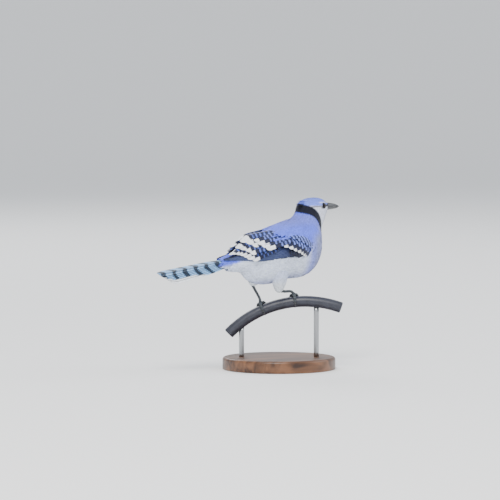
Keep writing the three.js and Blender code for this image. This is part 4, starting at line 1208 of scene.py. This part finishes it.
# Painted shade: each covert is darker toward its root, where the ones before it lie over it.
ground = ground * per_blade(0.8 + 0.24 * ease(s, 0.1, 0.9))
coverts = coat_object("tail_coverts", blade, nearest_place(line[:, 0]), ground, plumage)
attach(coverts, "root")


# The thighs: short drops of flesh under thick white down and small feathers that narrow to the leg.
LEGS = {
    "left": dict(place=-17.8, side=-1, ankle=(-33, 10.5, 30),
                 top=(-24, 12, 36), end=(-30, 10.4, 22), size=9.0),
    "right": dict(place=17.8, side=1, ankle=(-8.5, -10.6, 17.6),
                  top=(-8, -14, 38), end=(-7, -10.6, 14.6), size=9.5),
}


def thigh_surface(leg, station, angle, swell):
    """Points of a thigh: radius size * sqrt(1 - s^1.5) at a share s of its length down its axis."""
    top, end = np.array(leg["top"], float), np.array(leg["end"], float)
    axis = unit(end - top)
    side = unit(np.cross(axis, np.array([0, 1.0, 0])))
    third = np.cross(axis, side)
    steep = np.maximum(station, -2.2 * station)
    wide = leg["size"] * np.sqrt(np.clip(1 - steep ** 1.5, 0.002, 1)) + swell
    return (top + (station * np.linalg.norm(end - top))[..., None] * axis
            + wide[..., None] * (np.cos(angle)[..., None] * side + np.sin(angle)[..., None] * third))


THIGH_WHITE = tone(236, 243, 250)
THIGH_ROWS = 22
THIGH_ROUND = 34
for label, leg in LEGS.items():
    station, angle = crossings(np.linspace(-0.42, 0.985, 40), round_angles(40))
    flesh = new_tube(f"thigh_skin_{label}", thigh_surface(leg, station, angle, -1.1))
    # Painted shade: the flesh takes the thigh's white dimmed to 0.6, for where it shows between the
    # tufts.
    painted(flesh, THIGH_WHITE * 0.6, plumage)
    flesh.data.uv_layers.new(name="Vane")
    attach(flesh, "root")
    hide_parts(f"thigh_{label}")
    rows = np.linspace(-0.2, 0.9, THIGH_ROWS)
    row, step = staggered(THIGH_ROWS, THIGH_ROUND)
    many = len(row)
    angle = 2 * math.pi * step / THIGH_ROUND + rng.uniform(-0.06, 0.06, many)
    reach = rng.uniform(0.22, 0.34, many)[:, None]
    along = np.minimum(rows[row][:, None] + reach * s, 0.995)
    sway = angle[:, None] + rng.uniform(-0.1, 0.1, (many, 1)) * s
    swell = -1.0 + 1.15 * ease(s, 0, 0.6) + rng.uniform(-0.1, 0.3, (many, 1))
    line = thigh_surface(leg, along, sway, swell)
    across = unit(thigh_surface(leg, along, sway + 0.05, swell) - line)
    away = unit(thigh_surface(leg, along, sway, swell + 1) - line)
    half = 0.85 * np.sqrt(np.clip(1 - rows[row], 0.14, 1)) * rng.uniform(0.8, 1.15, many)
    blade = free_blades(line, across, away, half, BLADE_SHAPE, 0.1)
    lower = per_blade(ease(rows, -0.1, 0.5)[row])
    shade = mix(0.5 * (BELLY_GREY + FLANK_WHITE), THIGH_WHITE, lower)
    shade = shade * rng.uniform(0.86, 1.04, (many, 1, 1, 1))
    # Painted shade: each tuft is darker toward its root, where the ones above lie over it.
    shade = shade * per_blade(0.78 + 0.26 * ease(s, 0.1, 0.9))
    piece = coat_object(f"thigh_tufts_{label}", blade, nearest_place(line[:, 0]), shade, plumage)
    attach(piece, "root")


# The legs and feet: slim shanks shielded in front by broad overlapping scutes, and toes with small
# scutes above and padded soles below, three bent over the far side of the rod and one round the
# near side. The rod is a round bar bent to one radius in an upright plane.
PERCH_RADIUS = 6.35
PERCH_BEND = 122
PERCH_TURN = math.radians(-32)
PERCH_APEX = 29.9
PERCH_FROM = math.radians(-46)
PERCH_TO = math.radians(20)
TOE_CLEARANCE = 0.45
perch_way = np.array([math.cos(PERCH_TURN), math.sin(PERCH_TURN), 0])
perch_across = np.array([-perch_way[1], perch_way[0], 0])
PERCH_CENTRE_DROP = math.sqrt(PERCH_BEND ** 2 - PERCH_APEX ** 2)
TOES = [
    dict(name="inner", first=-8, last=92, spread=4.6, size=1.75, claw=34),
    dict(name="middle", first=-8, last=118, spread=0.0, size=1.95, claw=36),
    dict(name="outer", first=-8, last=98, spread=-4.6, size=1.75, claw=34),
    dict(name="hind", first=8, last=-84, spread=0.6, size=2.0, claw=-44),
]


def round_rod(distance, angle, height):
    """Points over the rod at a distance along it from the grip, an angle in degrees round it from
    its crown side and a height over its surface."""
    lean = np.arcsin((distance - PERCH_APEX) / PERCH_BEND)[..., None]
    centre = (perch_way * np.asarray(distance)[..., None]
              + UPWARD * (PERCH_BEND * np.cos(lean) - PERCH_CENTRE_DROP))
    crown = perch_way * np.sin(lean) + UPWARD * np.cos(lean)
    turn = np.radians(angle)[..., None]
    lift = (PERCH_RADIUS + TOE_CLEARANCE + height)[..., None]
    return centre + lift * (crown * np.cos(turn) + perch_across * np.sin(turn))


def bar_rings(line, radius, across, sides, scutes=0.0, pitch=1.3):
    """Rings of a round bar along a line of points, its outer side stepped by scutes: each rises
    toward its free edge by a share of the radius, then drops to the next."""
    ahead = unit(np.gradient(line, axis=0))
    side = unit(across - (ahead @ across)[:, None] * ahead)
    third = np.cross(ahead, side)
    angle = round_angles(sides)
    travelled = np.concatenate([[0], np.cumsum(np.linalg.norm(np.diff(line, axis=0), axis=-1))])
    tooth = np.mod(travelled / pitch, 1)[:, None]
    step = scutes * (tooth - 0.5) * (0.35 + 0.65 * ease(np.sin(angle), -0.2, 0.5))
    size = (radius[:, None] * (1 + step))[..., None]
    turn = angle[:, None]
    return line[:, None] + size * (side[:, None] * np.cos(turn) + third[:, None] * np.sin(turn))


leg_skin, tree, shader = new_material("scaled_skin", 0.5)
place = add_node(tree, "TexCoord", {}).outputs["Object"]
cells = add_node(tree, "TexVoronoi", {"Vector": place, "Scale": 1500}).outputs["Distance"]
two_tone(tree, shader, cells, srgb(66, 72, 76), srgb(40, 45, 50))
bump_up(tree, shader, cells, 0.3, 0.0001, invert=True)

for label, leg in LEGS.items():
    ankle = np.array(leg["ankle"], float)
    sole = round_rod(np.array(leg["place"]), np.array(-4.0), np.array(1.9))
    rise_way = unit(ankle - sole)
    share = np.linspace(0, 1, 240)
    shank = smooth_line([sole, sole + 2.6 * UPWARD + 3 * rise_way,
                         sole + 0.6 * (ankle - sole) + 0.6 * UPWARD, ankle], share)
    shank_size = 1.5 + 0.7 * np.abs(2 * share - 0.9) ** 2.5
    foot_pieces = [bar_rings(shank, shank_size, perch_across, 24, 0.16, 2.1)]
    for toe in TOES:
        share = np.linspace(0, 1, 150)
        size = toe["size"] * (1.05 - 0.36 * share + 0.12 * np.cos(share * math.pi * 6))
        distance = leg["place"] + leg["side"] * toe["spread"] * ease(share, 0, 0.6)
        line = round_rod(distance, toe["first"] + (toe["last"] - toe["first"]) * share, size)
        foot_pieces.append(bar_rings(line, size, perch_way, 20, 0.12, 1.15))
        first = toe["size"] * 0.66
        start = toe["last"] + math.copysign(
            math.degrees(0.06 / (PERCH_RADIUS + first)), toe["claw"])
        share = np.linspace(0, 1, 40)
        thin = np.maximum(first * 1.08 * (1 - share) ** 0.8, 0.1)
        line = round_rod(distance[-1] + 0 * share, start + toe["claw"] * share,
                         thin + 1.1 * np.sin(share * math.pi * 0.8))
        claw = new_tube(f"claw_horn_{label}_{toe['name']}", bar_rings(line, thin, perch_way, 16))
        claw.data.materials.append(horn)
        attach(claw, "root")
        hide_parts(f"claw_{label}_{toe['name']}")
    corners, faces = [], []
    for rings in foot_pieces:
        ring_corners, ring_faces = capped(rings)
        order = -1 if turned_in(ring_corners, ring_faces[::5]) else 1
        faces += [[len(corners) + k for k in face[::order]] for face in ring_faces]
        corners += ring_corners.tolist()
    mesh = bpy.data.meshes.new(f"foot_scales_{label}")
    mesh.from_pydata(to_world(corners).tolist(), [], faces)
    mesh.materials.append(leg_skin)
    foot = placed(mesh)
    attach(foot, "root")
    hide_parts(f"foot_{label}")


# The stand: a short length of the bent garden rod in worn satin black paint, two slim satin steel
# rods under it and a round oiled walnut base with a softened edge.
perch_paint, tree, shader = new_material("worn_black_paint", 0.42)
wear = speckle(tree, 160, Detail=6)
two_tone(tree, shader, wear, srgb(28, 30, 38), srgb(62, 64, 76))
bump_up(tree, shader, wear, 0.15, 0.0002)

PERCH_BEVEL = 0.5
lean = np.linspace(PERCH_FROM, PERCH_TO, 150)
arc = (perch_way * (PERCH_APEX + PERCH_BEND * np.sin(lean))[:, None]
       + UPWARD * (PERCH_BEND * np.cos(lean) - PERCH_CENTRE_DROP)[:, None])
from_end = np.minimum(lean - PERCH_FROM, PERCH_TO - lean) * PERCH_BEND
perch_radius = PERCH_RADIUS - PERCH_BEVEL * (1 - np.minimum(from_end / PERCH_BEVEL, 1)) ** 2
perch = new_tube("bent_rod", bar_rings(arc, perch_radius, perch_across, 56))
perch.data.materials.append(perch_paint)
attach(perch, "root")
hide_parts("stand_perch")

rod_steel, tree, shader = new_material("satin_steel", 0.34)
shader.inputs["Base Color"].default_value = srgb(168, 170, 172)
shader.inputs["Metallic"].default_value = 1
bump_up(tree, shader, speckle(tree, 1, (3000, 3000, 60)), 0.08, 0.00005)

BASE_RADIUS = 65
BASE_HEIGHT = 14
GRIP_HEIGHT = GRIP[2] * 1000
ROD_RADIUS = 3
ROD_PLACE = 43
for side, label in ((-1, "left"), (1, "right")):
    angle = round_angles(40)
    around = ROD_RADIUS * np.stack([np.cos(angle), np.sin(angle), 0 * angle], -1)
    spot = around + side * ROD_PLACE * perch_way
    run, aside = spot @ perch_way, spot @ perch_across
    lean = np.arcsin((run - PERCH_APEX) / PERCH_BEND)
    half_chord = np.sqrt(PERCH_RADIUS ** 2 - aside ** 2) / np.cos(lean)
    under = PERCH_BEND * np.cos(lean) - PERCH_CENTRE_DROP - half_chord
    bottom = BASE_HEIGHT - GRIP_HEIGHT
    heights = bottom + (under - 0.05 - bottom) * np.linspace(0, 1, 12)[:, None]
    rings = spot + heights[..., None] * UPWARD
    rod = new_tube(f"support_{label}", rings)
    rod.data.materials.append(rod_steel)
    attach(rod, "root")
    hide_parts(f"stand_rod_{label}")

walnut, tree, shader = new_material("oiled_walnut", 0.38)
figure = speckle(tree, 1, (9, 120, 60), math.radians(28), Detail=8, Distortion=0.6)
bands = add_node(tree, "ValToRGB", {"Fac": figure})
for mark, position, colour in zip(bands.color_ramp.elements, (0.36, 0.66),
                                  (srgb(52, 32, 20), srgb(122, 82, 54))):
    mark.position = position
    mark.color = colour
tree.links.new(bands.outputs["Color"], shader.inputs["Base Color"])
bump_up(tree, shader, figure, 0.12, 0.0003)

BASE_BEVEL = 3
corner = np.linspace(0, math.pi / 2, 12)
profile_out = np.concatenate([[BASE_RADIUS - 1.2, BASE_RADIUS - 0.4, BASE_RADIUS],
                              BASE_RADIUS - BASE_BEVEL * (1 - np.cos(corner)),
                              [BASE_RADIUS - BASE_BEVEL - 4, 20]])[:, None]
profile_up = np.concatenate([[0, 0.3, 1.2], BASE_HEIGHT - BASE_BEVEL * (1 - np.sin(corner)),
                             [BASE_HEIGHT, BASE_HEIGHT]])[:, None] - GRIP_HEIGHT
angle = round_angles(160)
rings = np.stack([profile_out * np.cos(angle), profile_out * np.sin(angle),
                  profile_up + 0 * angle], -1)
base = new_tube("walnut_base", rings)
base.data.materials.append(walnut)
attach(base, "root")
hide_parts("stand_base")
